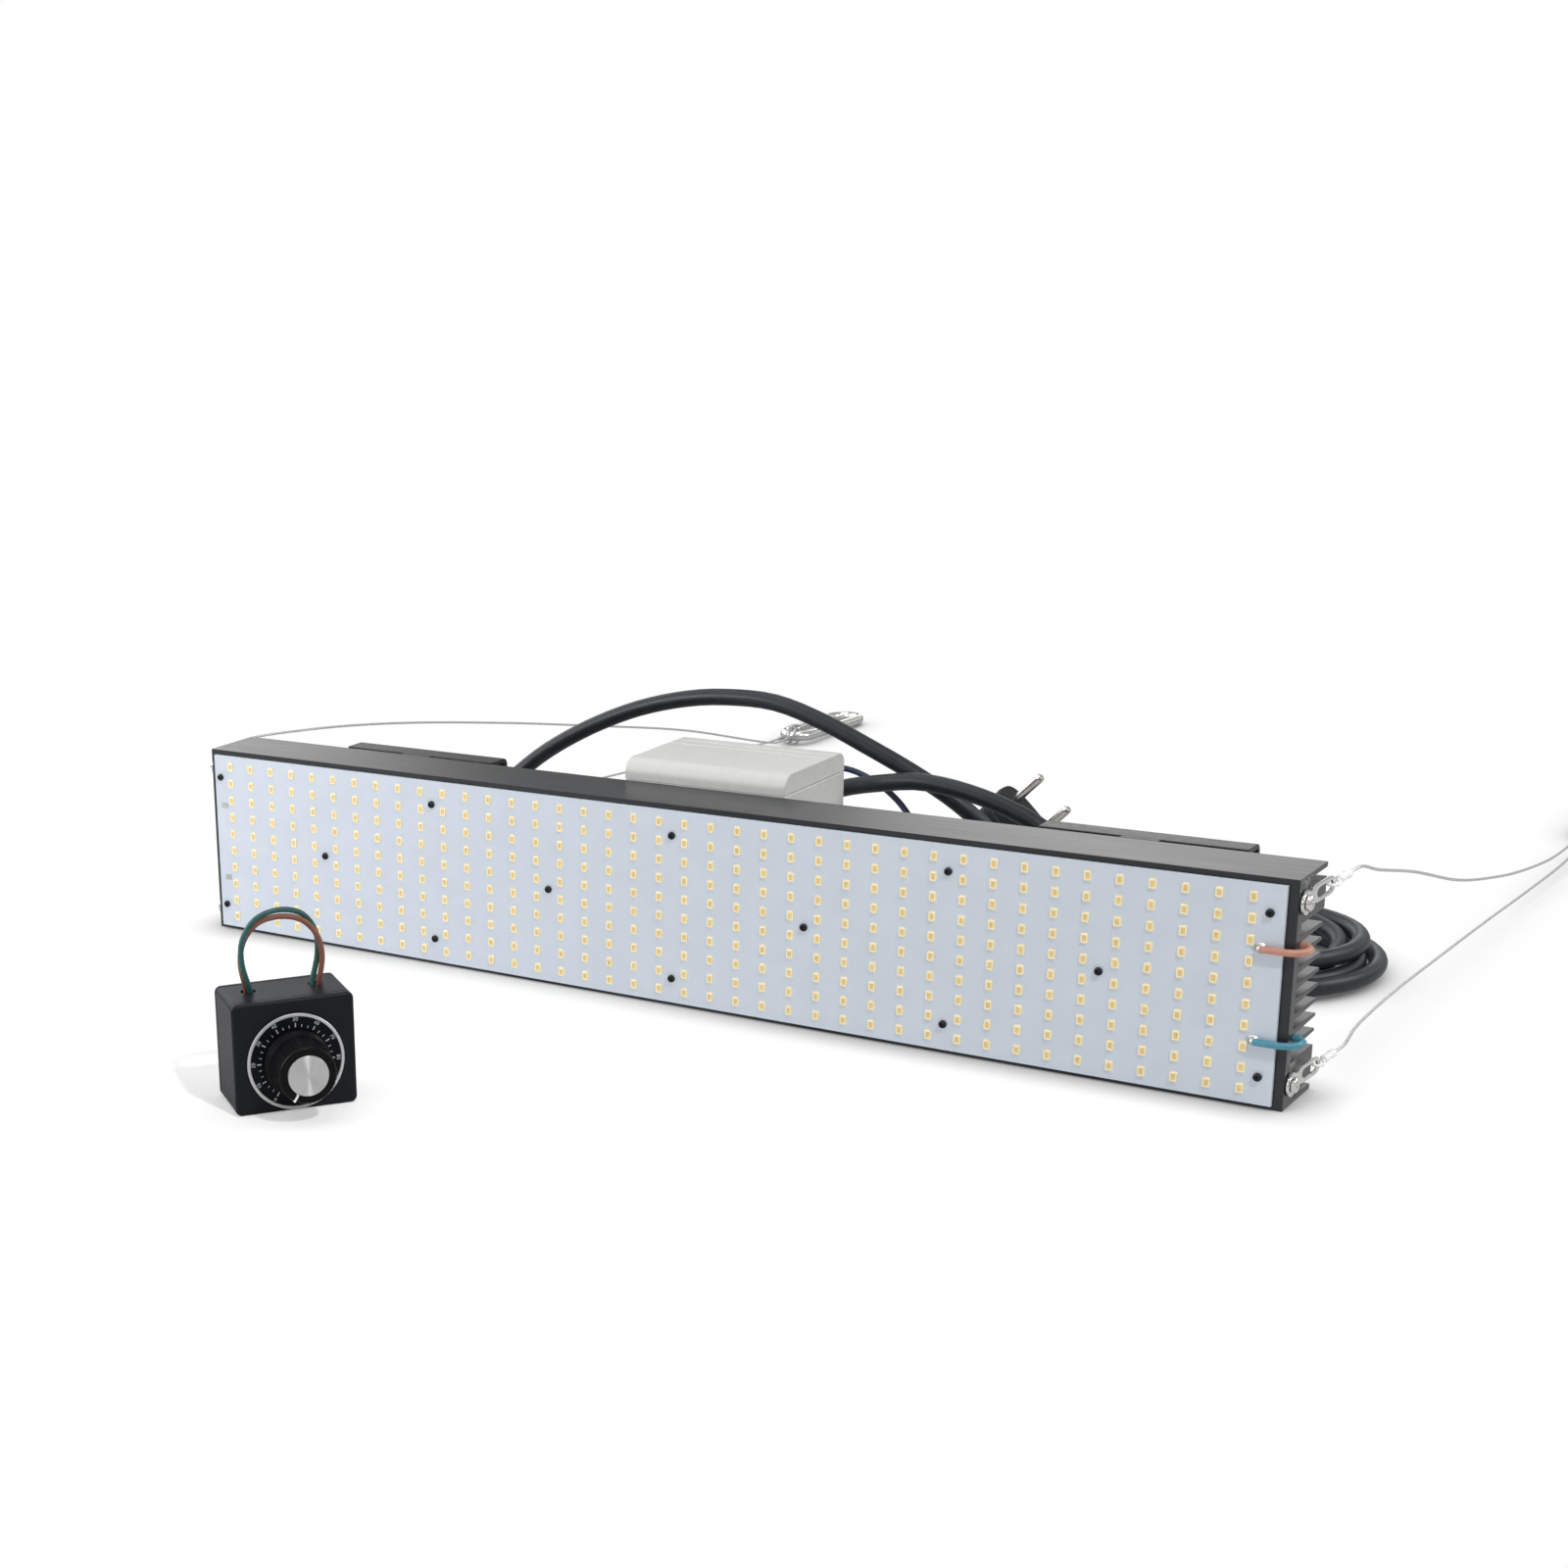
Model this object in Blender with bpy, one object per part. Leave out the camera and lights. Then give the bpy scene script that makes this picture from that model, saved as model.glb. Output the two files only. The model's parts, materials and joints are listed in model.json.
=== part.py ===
"""LED grow light: a finned light panel with its driver, hanging wires, mains lead and dimmer.

The panel stands on its lower flange. X runs along the panel, the LEDs face -Y, and Z is up.
The origin is the middle of the lower flange's underside. All sizes are in metres.
"""

import math

import bmesh
import bpy
from mathutils import Matrix, Vector

# Fits between neighbouring pieces
SEAT_GAP = 0.0003
PIN_CLEARANCE = 0.0001

# LED board
LED_COLUMNS = 40
LED_ROWS = 10
LED_PITCH_X = 0.012
LED_PITCH_Z = 0.008
LED_WIDTH = 0.0028
LED_HEIGHT = 0.0035
LED_RISE = 0.0008
BOARD_THICKNESS = 0.0016
BOARD_END_MARGIN = 0.00525
BOARD_EDGE_MARGIN = 0.002
BOARD_SHIFT_X = -0.0011
BOARD_LENGTH = LED_COLUMNS * LED_PITCH_X + 2 * BOARD_END_MARGIN
BOARD_HEIGHT = LED_ROWS * LED_PITCH_Z + 2 * BOARD_EDGE_MARGIN

# Board screws: columns are counted in LED pitches from the middle
SCREW_ROW_INSET = 0.0113
SCREW_HEAD_DIAMETER = 0.0036
SCREW_HEAD_HEIGHT = 0.0011
SCREW_SHANK_DIAMETER = 0.0022
SCREW_GRIP = 0.003
OUTER_SCREW_COLUMNS = (-20, -10, 0, 10, 20)
MIDDLE_SCREW_COLUMNS = (-15, -5, 5, 15)

# Heat sink extrusion
SINK_INSET_X = 0.0025
SINK_INSET_Z = 0.0012
SINK_DEPTH = 0.0298
FLANGE_THICKNESS = 0.002
BASE_THICKNESS = 0.005
RIB_HEIGHT = 0.0172
WEDGE_ROOT = 0.0125
WEDGE_GAP = 0.0034
FIN_COUNT = 8
FIN_ROOT = 0.0026
FIN_TIP = 0.0012
SINK_LENGTH = BOARD_LENGTH + 2 * SINK_INSET_X
SINK_HEIGHT = BOARD_HEIGHT + 2 * SINK_INSET_Z
SINK_FRONT = -SINK_DEPTH / 2
SINK_BACK = SINK_DEPTH / 2
FIN_PITCH = (SINK_HEIGHT - 2 * RIB_HEIGHT) / (FIN_COUNT + 1)
BOARD_BACK = SINK_FRONT - SEAT_GAP
BOARD_FRONT = BOARD_BACK - BOARD_THICKNESS

# Link lugs on the heat sink's ends, each held by one screw
LUG_SCREW_INSET = 0.0092
LUG_SCREW_Y = -0.0098
LUG_THICKNESS = 0.0012
LUG_ROUND_RADIUS = 0.0046
LUG_WAIST = 0.0024
LUG_LOOP_RADIUS = 0.0036
LUG_SLOT_RADIUS = 0.002
LUG_REACH = 0.0166
LUG_LOOP_LENGTH = 0.008
LUG_TILT = math.radians(10)
LUG_BEND = math.radians(14)
LUG_BEND_AT = LUG_ROUND_RADIUS + LUG_WAIST / 2
END_SCREW_SHANK = 0.0032
END_SCREW_HEAD = 0.0062
END_SCREW_HEAD_HEIGHT = 0.0022
END_SCREW_GRIP = 0.006

# Hanging wires, with a sleeve and a loop at both ends
WIRE_DIAMETER = 0.0012
FERRULE_DIAMETER = 0.0032
FERRULE_LENGTH = 0.007
FERRULE_LOOP_RADIUS = 0.0022
CRIMP_DIAMETER = 0.0022
CRIMP_LENGTH = 0.008
LOOP_LEAD = 0.001

# Snap hooks
HOOK_LENGTH = 0.080
HOOK_WIDTH = 0.026
HOOK_EYE_WIDTH = 0.022
HOOK_ROD = 0.006
HOOK_EYE_HEIGHT = 0.0056
HOOK_LOOP_CLEARANCE = 0.0008
HOOK_LOOP_SPACING = 0.0044
HOOK_NOSE = 0.003
GATE_DIAMETER = 0.0054
GATE_PIVOT = 0.007
GATE_TAIL = 0.0024
TONGUE_THICKNESS = 0.002
TONGUE_ROOT = 0.004
TONGUE_TIP = 0.0026
PIVOT_PIN = 0.002
FORK_DEPTH = 0.0046
LEFT_HOOK_AT = (-0.1930, 0.4580)
RIGHT_HOOK_AT = (0.2499, 0.4262)

# Rear clip brackets
BRACKET_LENGTH = 0.080
BRACKET_SHEET = 0.002
BRACKET_STAND_OFF = 0.0026
BRACKET_REACH = 0.0151
BRACKET_TAB_WIDTH = 0.015
BRACKET_TONGUE = 0.0015
BRACKET_BITE = 0.0066
LEFT_BRACKET_X = -0.1522
RIGHT_BRACKET_X = 0.1790

# Driver
DRIVER_LENGTH = 0.0755
DRIVER_SHIFT_X = -0.0049
DRIVER_DEPTH = 0.0533
DRIVER_HEIGHT = 0.0373
DRIVER_RISE = 0.0091
DRIVER_BACK_ROUND = 0.005
DRIVER_FRONT_ROUND = 0.0065
DRIVER_LID_SKIRT = 0.0021
DRIVER_END_EASE = 0.0012
DRIVER_EAR = 0.009
DRIVER_EAR_THICKNESS = 0.003
DRIVER_EAR_HEIGHT = 0.009
DRIVER_SCREW_GRIP = 0.006
DRIVER_LID_HEIGHT = max(DRIVER_BACK_ROUND, DRIVER_FRONT_ROUND) + DRIVER_LID_SKIRT
DRIVER_TOP = SINK_HEIGHT + DRIVER_RISE
DRIVER_BOTTOM = DRIVER_TOP - DRIVER_HEIGHT
DRIVER_FRONT = SINK_BACK + SEAT_GAP
DRIVER_BACK = DRIVER_FRONT + DRIVER_DEPTH
DRIVER_LEFT = DRIVER_SHIFT_X - DRIVER_LENGTH / 2
DRIVER_RIGHT = DRIVER_SHIFT_X + DRIVER_LENGTH / 2

# Mains lead, its coil, tie and plug
CABLE_DIAMETER = 0.0074
GLAND_LENGTH = 0.024
GLAND_ROOT = 0.0115
GLAND_TIP = 0.0088
GLAND_INSET_Y = 0.0133
GLAND_RISE = 0.0063
COIL_CENTRE = (0.180, 0.152)
COIL_RADIUS = 0.0515
COIL_PITCH = 0.008
COIL_LAYER = 0.0082
COIL_INWARD_TURNS = 2.0
COIL_OUTWARD_TURNS = 1.25
COIL_STEPS_PER_TURN = 24
TIE_BAND = 0.0012
TIE_WIDTH = 0.005
TIE_CLEARANCE = 0.0005
PLUG_NOSE = (0.0661, 0.1865, 0.045)
PLUG_AXIS = (0.70, -0.185, 0.69)
PLUG_ACROSS = (0.713, 0.0, -0.697)
PLUG_WIDTH = 0.0353
PLUG_THICKNESS = 0.016
PLUG_BODY_LENGTH = 0.030
PLUG_RELIEF_LENGTH = 0.020
PLUG_RELIEF_TIP = 0.0088
PIN_DIAMETER = 0.004
PIN_LENGTH = 0.019
PIN_SPACING = 0.0186
PIN_ROOT = 0.004

# LED leads
LEAD_DIAMETER = 0.0026
LEAD_PAD_INSET = 0.0073
POSITIVE_CHANNEL = 7
NEGATIVE_CHANNEL = 1
LEAD_MOUTH_Y = -0.006
LEAD_TURN_SETBACK = 0.002
LEAD_CHANNEL_Y = 0.006

# Dimmer
DIMMER_AT = (-0.05935, -0.1977)
DIMMER_TURN = math.radians(52.8)
DIMMER_WIDTH = 0.048
DIMMER_HEIGHT = 0.0445
DIMMER_DEPTH = 0.0281
DIMMER_WALL = 0.002
DIMMER_ROUND = 0.0025
DIMMER_BACK_THICKNESS = 0.0024
DIMMER_LIP = 0.002
DIAL_DIAMETER = 0.038
DIAL_THICKNESS = 0.0006
DIAL_CENTRE_Z = 0.0200
LEAD_HOLE_DIAMETER = 0.006
LEAD_HOLE_SPACING = 0.0266
LEAD_HOLE_DEPTH_Y = 0.016
POT_DIAMETER = 0.017
POT_LENGTH = 0.009
BUSH_DIAMETER = 0.007
BUSH_LENGTH = 0.0045
SHAFT_DIAMETER = 0.004
SHAFT_BITE = 0.006
KNOB_DIAMETER = 0.0232
KNOB_TIP_DIAMETER = 0.0222
KNOB_SKIRT_DIAMETER = 0.026
KNOB_SKIRT_HEIGHT = 0.003
KNOB_HEIGHT = 0.0166
KNOB_POINTER = math.radians(211.5)
KNOB_POINTER_WIDTH = 0.0012
KNOB_POINTER_RISE = 0.0004
CAP_DIAMETER = 0.016
CAP_THICKNESS = 0.001
DIMMER_LEAD_DIAMETER = 0.0022
DIMMER_LEAD_SPACING = 0.0026
DIMMER_ARCH_RISE = 0.0295
DIMMER_ARCH_BULGE = 0.0022
LEAD_TWIST_LEFT = math.radians(150)
LEAD_TWIST_RIGHT = math.radians(200)


def clear_scene():
    for obj in list(bpy.data.objects):
        bpy.data.objects.remove(obj, do_unlink=True)


def material(name, colour, roughness, metallic=0.0):
    made = bpy.data.materials.new(name)
    made.use_nodes = True
    shader = made.node_tree.nodes["Principled BSDF"]
    shader.inputs["Base Color"].default_value = (*colour, 1.0)
    shader.inputs["Roughness"].default_value = roughness
    shader.inputs["Metallic"].default_value = metallic
    return made


def make_materials():
    return {
        "anodised": material("black_anodised", (0.028, 0.032, 0.034), 0.45, 0.5),
        "board": material("board_white", (0.49, 0.55, 0.65), 0.4),
        "black_screw": material("black_screw", (0.015, 0.015, 0.016), 0.4, 0.6),
        "chrome": material("chrome_steel", (0.72, 0.72, 0.72), 0.15, 1.0),
        "wire": material("steel_wire", (0.55, 0.55, 0.56), 0.3, 1.0),
        "sleeve": material("clear_sleeve", (0.72, 0.73, 0.74), 0.4),
        "bracket": material("black_bracket", (0.030, 0.033, 0.037), 0.4, 0.2),
        "driver": material("driver_grey", (0.66, 0.66, 0.63), 0.5),
        "cable": material("cable_black", (0.024, 0.030, 0.036), 0.5),
        "rubber": material("gland_black", (0.02, 0.022, 0.024), 0.6),
        "tie": material("tie_black", (0.03, 0.03, 0.03), 0.5),
        "nickel": material("nickel_pin", (0.70, 0.69, 0.66), 0.22, 1.0),
        "positive": material("lead_salmon", (0.56, 0.22, 0.14), 0.45),
        "negative": material("lead_teal", (0.06, 0.25, 0.36), 0.45),
        "dimmer": material("dimmer_black", (0.020, 0.022, 0.027), 0.5),
        "dial": material("dial_black", (0.018, 0.019, 0.022), 0.4),
        "knob": material("knob_black", (0.014, 0.014, 0.016), 0.35),
        "cap": material("spun_aluminium", (0.68, 0.68, 0.69), 0.3, 1.0),
        "green": material("lead_green", (0.03, 0.22, 0.08), 0.45),
        "brown": material("lead_brown", (0.20, 0.07, 0.03), 0.45),
        "metal": material("plain_metal", (0.5, 0.5, 0.5), 0.35, 1.0),
    }


def link(name, data, look, parent=None, place=None):
    obj = bpy.data.objects.new(name, data)
    bpy.context.scene.collection.objects.link(obj)
    if look is not None:
        obj.data.materials.append(look)
    if parent is not None:
        obj.parent = parent
    if place is not None:
        obj.matrix_local = place
    return obj


def finish(name, bm, look, parent=None, place=None, round_shading=False):
    """One named solid from a bmesh. The mesh holds its place unless a matrix is given."""
    bmesh.ops.recalc_face_normals(bm, faces=bm.faces[:])
    mesh = bpy.data.meshes.new(name)
    bm.to_mesh(mesh)
    bm.free()
    if round_shading:
        mesh.polygons.foreach_set("use_smooth", [True] * len(mesh.polygons))
        mesh.set_sharp_from_angle(angle=math.radians(40))
    return link(name, mesh, look, parent, place)


def helper(name, bm, parent=None, place=None):
    obj = finish(name, bm, None, parent, place)
    obj.hide_render = True
    obj.display_type = "WIRE"
    return obj


def combine(obj, other, operation):
    step = obj.modifiers.new(other.name, "BOOLEAN")
    step.operation = operation
    step.solver = "EXACT"
    step.object = other


def frame_of(origin, along, up):
    """A matrix whose Z axis runs along one direction and whose X axis is nearest another."""
    z = Vector(along).normalized()
    x = (Vector(up) - z * z.dot(Vector(up))).normalized()
    y = z.cross(x)
    turned = Matrix((x, y, z)).transposed().to_4x4()
    return Matrix.Translation(Vector(origin)) @ turned


def add_box(bm, low, high):
    low, high = Vector(low), Vector(high)
    size = Matrix.Diagonal((*(high - low), 1.0))
    bmesh.ops.create_cube(bm, size=1.0, matrix=Matrix.Translation((low + high) / 2) @ size)


def add_rod(bm, start, end, radius, sides):
    start, end = Vector(start), Vector(end)
    up = (0, 0, 1) if abs((end - start).normalized().z) < 0.9 else (1, 0, 0)
    place = frame_of((start + end) / 2, end - start, up)
    bmesh.ops.create_cone(
        bm,
        cap_ends=True,
        segments=sides,
        radius1=radius,
        radius2=radius,
        depth=(end - start).length,
        matrix=place,
    )


def add_prism(bm, loops, start, end, frame):
    """The outline, and any holes after it, carried along the frame's Z axis."""
    edges = []
    for loop in loops:
        ring = [bm.verts.new(frame @ Vector((u, v, start))) for u, v in loop]
        edges += [bm.edges.new((a, b)) for a, b in zip(ring, ring[1:] + ring[:1])]
    filled = bmesh.ops.triangle_fill(bm, use_beauty=True, use_dissolve=False, edges=edges)
    faces = [item for item in filled["geom"] if isinstance(item, bmesh.types.BMFace)]
    made = bmesh.ops.extrude_face_region(bm, geom=faces)["geom"]
    moved = [item for item in made if isinstance(item, bmesh.types.BMVert)]
    shift = frame.to_3x3() @ Vector((0, 0, end - start))
    bmesh.ops.translate(bm, verts=moved, vec=shift)


def add_turned(bm, profile, steps, frame):
    """Radius and height pairs turned about the frame's Z axis."""
    points = [bm.verts.new(frame @ Vector((r, 0, h))) for r, h in profile]
    edges = [bm.edges.new(pair) for pair in zip(points, points[1:])]
    bmesh.ops.spin(
        bm,
        geom=points + edges,
        cent=frame.translation,
        axis=frame.to_3x3() @ Vector((0, 0, 1)),
        angle=math.tau,
        steps=steps,
        use_merge=True,
        use_duplicate=False,
    )
    bmesh.ops.remove_doubles(bm, verts=bm.verts[:], dist=1e-7)


def arc(centre, radius, first, last, steps):
    angles = [first + (last - first) * i / steps for i in range(steps + 1)]
    return [(centre[0] + radius * math.cos(a), centre[1] + radius * math.sin(a)) for a in angles]


def circle(centre, radius, steps):
    return arc(centre, radius, 0, math.tau, steps)[:-1]


def smooth_route(points, spacing):
    """Closely spaced points on a smooth curve through hand-chosen ones, straight at both ends."""
    knots = [Vector(point) for point in points]
    line = [knots[0]]
    for p0, p1, p2, p3 in zip(knots, knots[1:], knots[2:], knots[3:]):
        d0, d1, d2 = [math.sqrt((b - a).length) for a, b in ((p0, p1), (p1, p2), (p2, p3))]
        m1 = (p1 - p0) / d0 - (p2 - p0) / (d0 + d1) + (p2 - p1) / d1
        m2 = (p2 - p1) / d1 - (p3 - p1) / (d1 + d2) + (p3 - p2) / d2
        count = max(1, round((p2 - p1).length / spacing))
        for i in range(count):
            t = i / count
            along = (2 * t**3 - 3 * t**2 + 1) * p1 + (3 * t**2 - 2 * t**3) * p2
            line.append(along + (t**3 - 2 * t**2 + t) * d1 * m1 + (t**3 - t**2) * d1 * m2)
    return line + knots[-2:]


def length_of(points):
    return sum((Vector(b) - Vector(a)).length for a, b in zip(points, points[1:]))


def evenly(fine, spacing):
    count = max(2, round(length_of(fine) / spacing))
    step = length_of(fine) / count
    even, walked = [fine[0]], 0.0
    for a, b in zip(fine, fine[1:]):
        span = (b - a).length
        while walked + span >= step * len(even) - 1e-9 and len(even) < count:
            even.append(a.lerp(b, (step * len(even) - walked) / span))
        walked += span
    return even + [fine[-1]]


def tube(name, points, diameter, look, fineness, scales=None, parent=None):
    curve = bpy.data.curves.new(name, "CURVE")
    curve.dimensions = "3D"
    curve.bevel_depth = diameter / 2
    curve.bevel_resolution = fineness
    curve.use_fill_caps = True
    spline = curve.splines.new("POLY")
    spline.points.add(len(points) - 1)
    for i, point in enumerate(points):
        spline.points[i].co = (*point, 1.0)
        spline.points[i].radius = scales[i] if scales else 1.0
    spline.use_smooth = True
    return link(name, curve, look, parent)


# Light panel


def fin_heights():
    middle = SINK_HEIGHT / 2
    return [middle + (i - (FIN_COUNT - 1) / 2) * FIN_PITCH for i in range(FIN_COUNT)]


def channel_height(index):
    """The middle of the gap above a fin, counted from the lowest fin."""
    return fin_heights()[index - 1] + FIN_PITCH / 2


def sink_outline():
    root = SINK_FRONT + BASE_THICKNESS
    top = SINK_HEIGHT
    upper = [
        (SINK_FRONT, top),
        (SINK_BACK, top),
        (SINK_BACK, top - FLANGE_THICKNESS),
        (SINK_FRONT + WEDGE_ROOT, top - FLANGE_THICKNESS),
        (SINK_BACK, top - FLANGE_THICKNESS - WEDGE_GAP),
        (SINK_BACK, top - RIB_HEIGHT),
        (root, top - RIB_HEIGHT),
    ]
    fins = []
    for z in reversed(fin_heights()):
        fins += [(root, z + FIN_ROOT / 2), (SINK_BACK, z + FIN_TIP / 2)]
        fins += [(SINK_BACK, z - FIN_TIP / 2), (root, z - FIN_ROOT / 2)]
    lower = [(y, top - z) for y, z in reversed(upper)]
    return upper + fins + lower


def board_screw_places():
    """Screw positions on the board, in the board's plane."""
    row = BOARD_HEIGHT / 2 - SCREW_ROW_INSET
    middle = SINK_HEIGHT / 2
    outer = [(n, side * row) for side in (1, -1) for n in OUTER_SCREW_COLUMNS]
    inner = [(n, 0.0) for n in MIDDLE_SCREW_COLUMNS]
    return [(BOARD_SHIFT_X + n * LED_PITCH_X, middle + z) for n, z in outer + inner]


def lug_corners():
    """Name, side and screw height of each end screw."""
    heights = {"upper": SINK_HEIGHT - LUG_SCREW_INSET, "lower": LUG_SCREW_INSET}
    sides = {"left": -1, "right": 1}
    return [(f"{s}_{h}", sides[s], heights[h]) for s in sides for h in heights]


def driver_screw_places():
    reach = DRIVER_LENGTH / 2 + DRIVER_EAR / 2
    z = SINK_HEIGHT - RIB_HEIGHT + DRIVER_EAR_HEIGHT / 2
    return [(DRIVER_SHIFT_X + side * reach, z) for side in (-1, 1)]


def make_heat_sink(looks):
    bm = bmesh.new()
    along = Matrix(((0, 0, 1, 0), (1, 0, 0, 0), (0, 1, 0, 0), (0, 0, 0, 1)))
    add_prism(bm, [sink_outline()], -SINK_LENGTH / 2, SINK_LENGTH / 2, along)
    sink = finish("heat_sink", bm, looks["anodised"])
    holes = bmesh.new()
    over = SINK_FRONT - SEAT_GAP
    for x, z in board_screw_places():
        end = (x, SINK_FRONT + SCREW_GRIP + SEAT_GAP, z)
        add_rod(holes, (x, over, z), end, SCREW_SHANK_DIAMETER / 2 + SEAT_GAP, 8)
    for _, side, z in lug_corners():
        tip = side * (SINK_LENGTH / 2 - END_SCREW_GRIP - SEAT_GAP)
        mouth = side * (SINK_LENGTH / 2 + SEAT_GAP)
        ends = ((tip, LUG_SCREW_Y, z), (mouth, LUG_SCREW_Y, z))
        add_rod(holes, *ends, END_SCREW_SHANK / 2 + SEAT_GAP, 8)
    for x, z in driver_screw_places():
        ends = ((x, SINK_BACK - DRIVER_SCREW_GRIP - SEAT_GAP, z), (x, SINK_BACK + SEAT_GAP, z))
        add_rod(holes, *ends, END_SCREW_SHANK / 2 + SEAT_GAP, 8)
    combine(sink, helper("sink_hole_cutter", holes), "DIFFERENCE")


def led_edges(count, pitch, size, middle, span):
    """Grid lines: both ends of the board and both sides of every LED."""
    lines = [middle - span / 2]
    for i in range(count):
        centre = middle + (i - (count - 1) / 2) * pitch
        lines += [centre - size / 2, centre + size / 2]
    return lines + [middle + span / 2]


def make_led_board(looks):
    xs = led_edges(LED_COLUMNS, LED_PITCH_X, LED_WIDTH, BOARD_SHIFT_X, BOARD_LENGTH)
    zs = led_edges(LED_ROWS, LED_PITCH_Z, LED_HEIGHT, SINK_HEIGHT / 2, BOARD_HEIGHT)
    bm = bmesh.new()
    grid = [[bm.verts.new((x, BOARD_FRONT, z)) for z in zs] for x in xs]
    leds = []
    for i in range(len(xs) - 1):
        for j in range(len(zs) - 1):
            corners = (grid[i][j], grid[i + 1][j], grid[i + 1][j + 1], grid[i][j + 1])
            face = bm.faces.new(corners)
            if i % 2 and j % 2:
                leds.append(face)
    rim = [edge for edge in bm.edges if edge.is_boundary]
    sides = bmesh.ops.extrude_edge_only(bm, edges=rim)["geom"]
    back = [item for item in sides if isinstance(item, bmesh.types.BMVert)]
    bmesh.ops.translate(bm, verts=back, vec=(0, BOARD_THICKNESS, 0))
    bmesh.ops.holes_fill(bm, edges=[edge for edge in bm.edges if edge.is_boundary], sides=0)
    bmesh.ops.recalc_face_normals(bm, faces=bm.faces[:])
    tops = bmesh.ops.extrude_discrete_faces(bm, faces=leds)["faces"]
    raised = {vert for face in tops for vert in face.verts}
    bmesh.ops.translate(bm, verts=list(raised), vec=(0, -LED_RISE, 0))
    board = finish("led_board", bm, looks["board"])
    holes = bmesh.new()
    for x, z in board_screw_places():
        ends = ((x, BOARD_FRONT - SEAT_GAP, z), (x, BOARD_BACK + SEAT_GAP / 2, z))
        add_rod(holes, *ends, SCREW_SHANK_DIAMETER / 2 + SEAT_GAP, 8)
    combine(board, helper("board_hole_cutter", holes), "DIFFERENCE")


def screw_profile(head, head_height, shank, length):
    """A pan head below zero and a plain shank above it."""
    return [
        (0, -head_height),
        (head * 0.34, -head_height),
        (head * 0.5, -head_height * 0.5),
        (head * 0.5, 0),
        (shank / 2, 0),
        (shank / 2, length),
        (0, length),
    ]


def make_board_screws(looks):
    length = SEAT_GAP + BOARD_THICKNESS + SEAT_GAP + SCREW_GRIP
    shape = (SCREW_HEAD_DIAMETER, SCREW_HEAD_HEIGHT, SCREW_SHANK_DIAMETER, length)
    for number, (x, z) in enumerate(board_screw_places(), 1):
        bm = bmesh.new()
        add_turned(bm, screw_profile(*shape), 8, frame_of((0, 0, 0), (0, 1, 0), (0, 0, 1)))
        place = Matrix.Translation((x, BOARD_FRONT - SEAT_GAP, z))
        finish(f"board_screw_{number:02d}", bm, looks["black_screw"], None, place, True)


# Hanging wires


def lug_frame(side, z):
    """X runs along the lug towards the back, Y up across it, Z out of the panel's end."""
    along = Vector((0, math.cos(LUG_TILT), math.sin(LUG_TILT)))
    across = Vector((0, -math.sin(LUG_TILT), math.cos(LUG_TILT)))
    out = Vector((side, 0, 0))
    turned = Matrix((along, across, out)).transposed().to_4x4()
    return Matrix.Translation((side * SINK_LENGTH / 2, LUG_SCREW_Y, z)) @ turned


def lug_loops():
    neck = math.radians(40)
    waist = LUG_BEND_AT
    shoulder = LUG_REACH - LUG_LOOP_LENGTH
    outline = arc((0, 0), LUG_ROUND_RADIUS, neck, math.tau - neck, 9)
    outline += [(waist, -LUG_WAIST), (shoulder, -LUG_LOOP_RADIUS)]
    outline += arc((LUG_REACH, 0), LUG_LOOP_RADIUS, -math.pi / 2, math.pi / 2, 6)
    outline += [(shoulder, LUG_LOOP_RADIUS), (waist, LUG_WAIST)]
    slot = arc((LUG_REACH, 0), LUG_SLOT_RADIUS, -math.pi / 2, math.pi / 2, 4)
    start = shoulder + LUG_SLOT_RADIUS
    slot += arc((start, 0), LUG_SLOT_RADIUS, math.pi / 2, 1.5 * math.pi, 4)
    return [outline, circle((0, 0), END_SCREW_SHANK / 2 + SEAT_GAP, 8), slot]


def lug_tip(frame):
    """The lug's frame beyond its waist, where it folds out from the panel's end."""
    fold = Matrix.Translation((LUG_BEND_AT, 0, 0))
    return frame @ fold @ Matrix.Rotation(-LUG_BEND, 4, "Y") @ fold.inverted()


def add_lug(bm, frame):
    """A stamped plate, cut across at its waist and folded there."""
    add_prism(bm, lug_loops(), SEAT_GAP, SEAT_GAP + LUG_THICKNESS, Matrix.Identity(4))
    plate = bm.verts[:] + bm.edges[:] + bm.faces[:]
    bmesh.ops.bisect_plane(bm, geom=plate, dist=1e-6, plane_co=(LUG_BEND_AT, 0, 0), plane_no=(1, 0, 0))
    beyond = [vert for vert in bm.verts if vert.co.x > LUG_BEND_AT + 1e-6]
    flat = [vert for vert in bm.verts if vert.co.x <= LUG_BEND_AT + 1e-6]
    bmesh.ops.transform(bm, matrix=lug_tip(frame), verts=beyond)
    bmesh.ops.transform(bm, matrix=frame, verts=flat)


def loop_points(centre, radius, first, last, steps):
    """Points of an open wire loop in a plane, as along and across pairs."""
    return arc((centre, 0), radius, math.radians(first), math.radians(last), steps)


def ferrule_start():
    web = LUG_REACH + (LUG_SLOT_RADIUS + LUG_LOOP_RADIUS) / 2
    return web, web + FERRULE_LOOP_RADIUS + LOOP_LEAD


def make_ferrule(corner, frame, looks):
    """A sleeve whose wire loop goes through the lug's slot."""
    web, start = ferrule_start()
    middle = SEAT_GAP + LUG_THICKNESS / 2
    loop = loop_points(web, FERRULE_LOOP_RADIUS, 320, 30, 10)
    line = [(u, middle + v) for u, v in loop]
    line += [(start - LOOP_LEAD / 4, middle), (start, middle), (start + FERRULE_LENGTH, middle)]
    points = [frame @ Vector((u, 0, w)) for u, w in line]
    thick = FERRULE_DIAMETER / WIRE_DIAMETER
    scales = [1.0] * (len(points) - 2) + [thick, thick]
    tube(f"ferrule_{corner}", points, WIRE_DIAMETER, looks["sleeve"], 2, scales)


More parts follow.
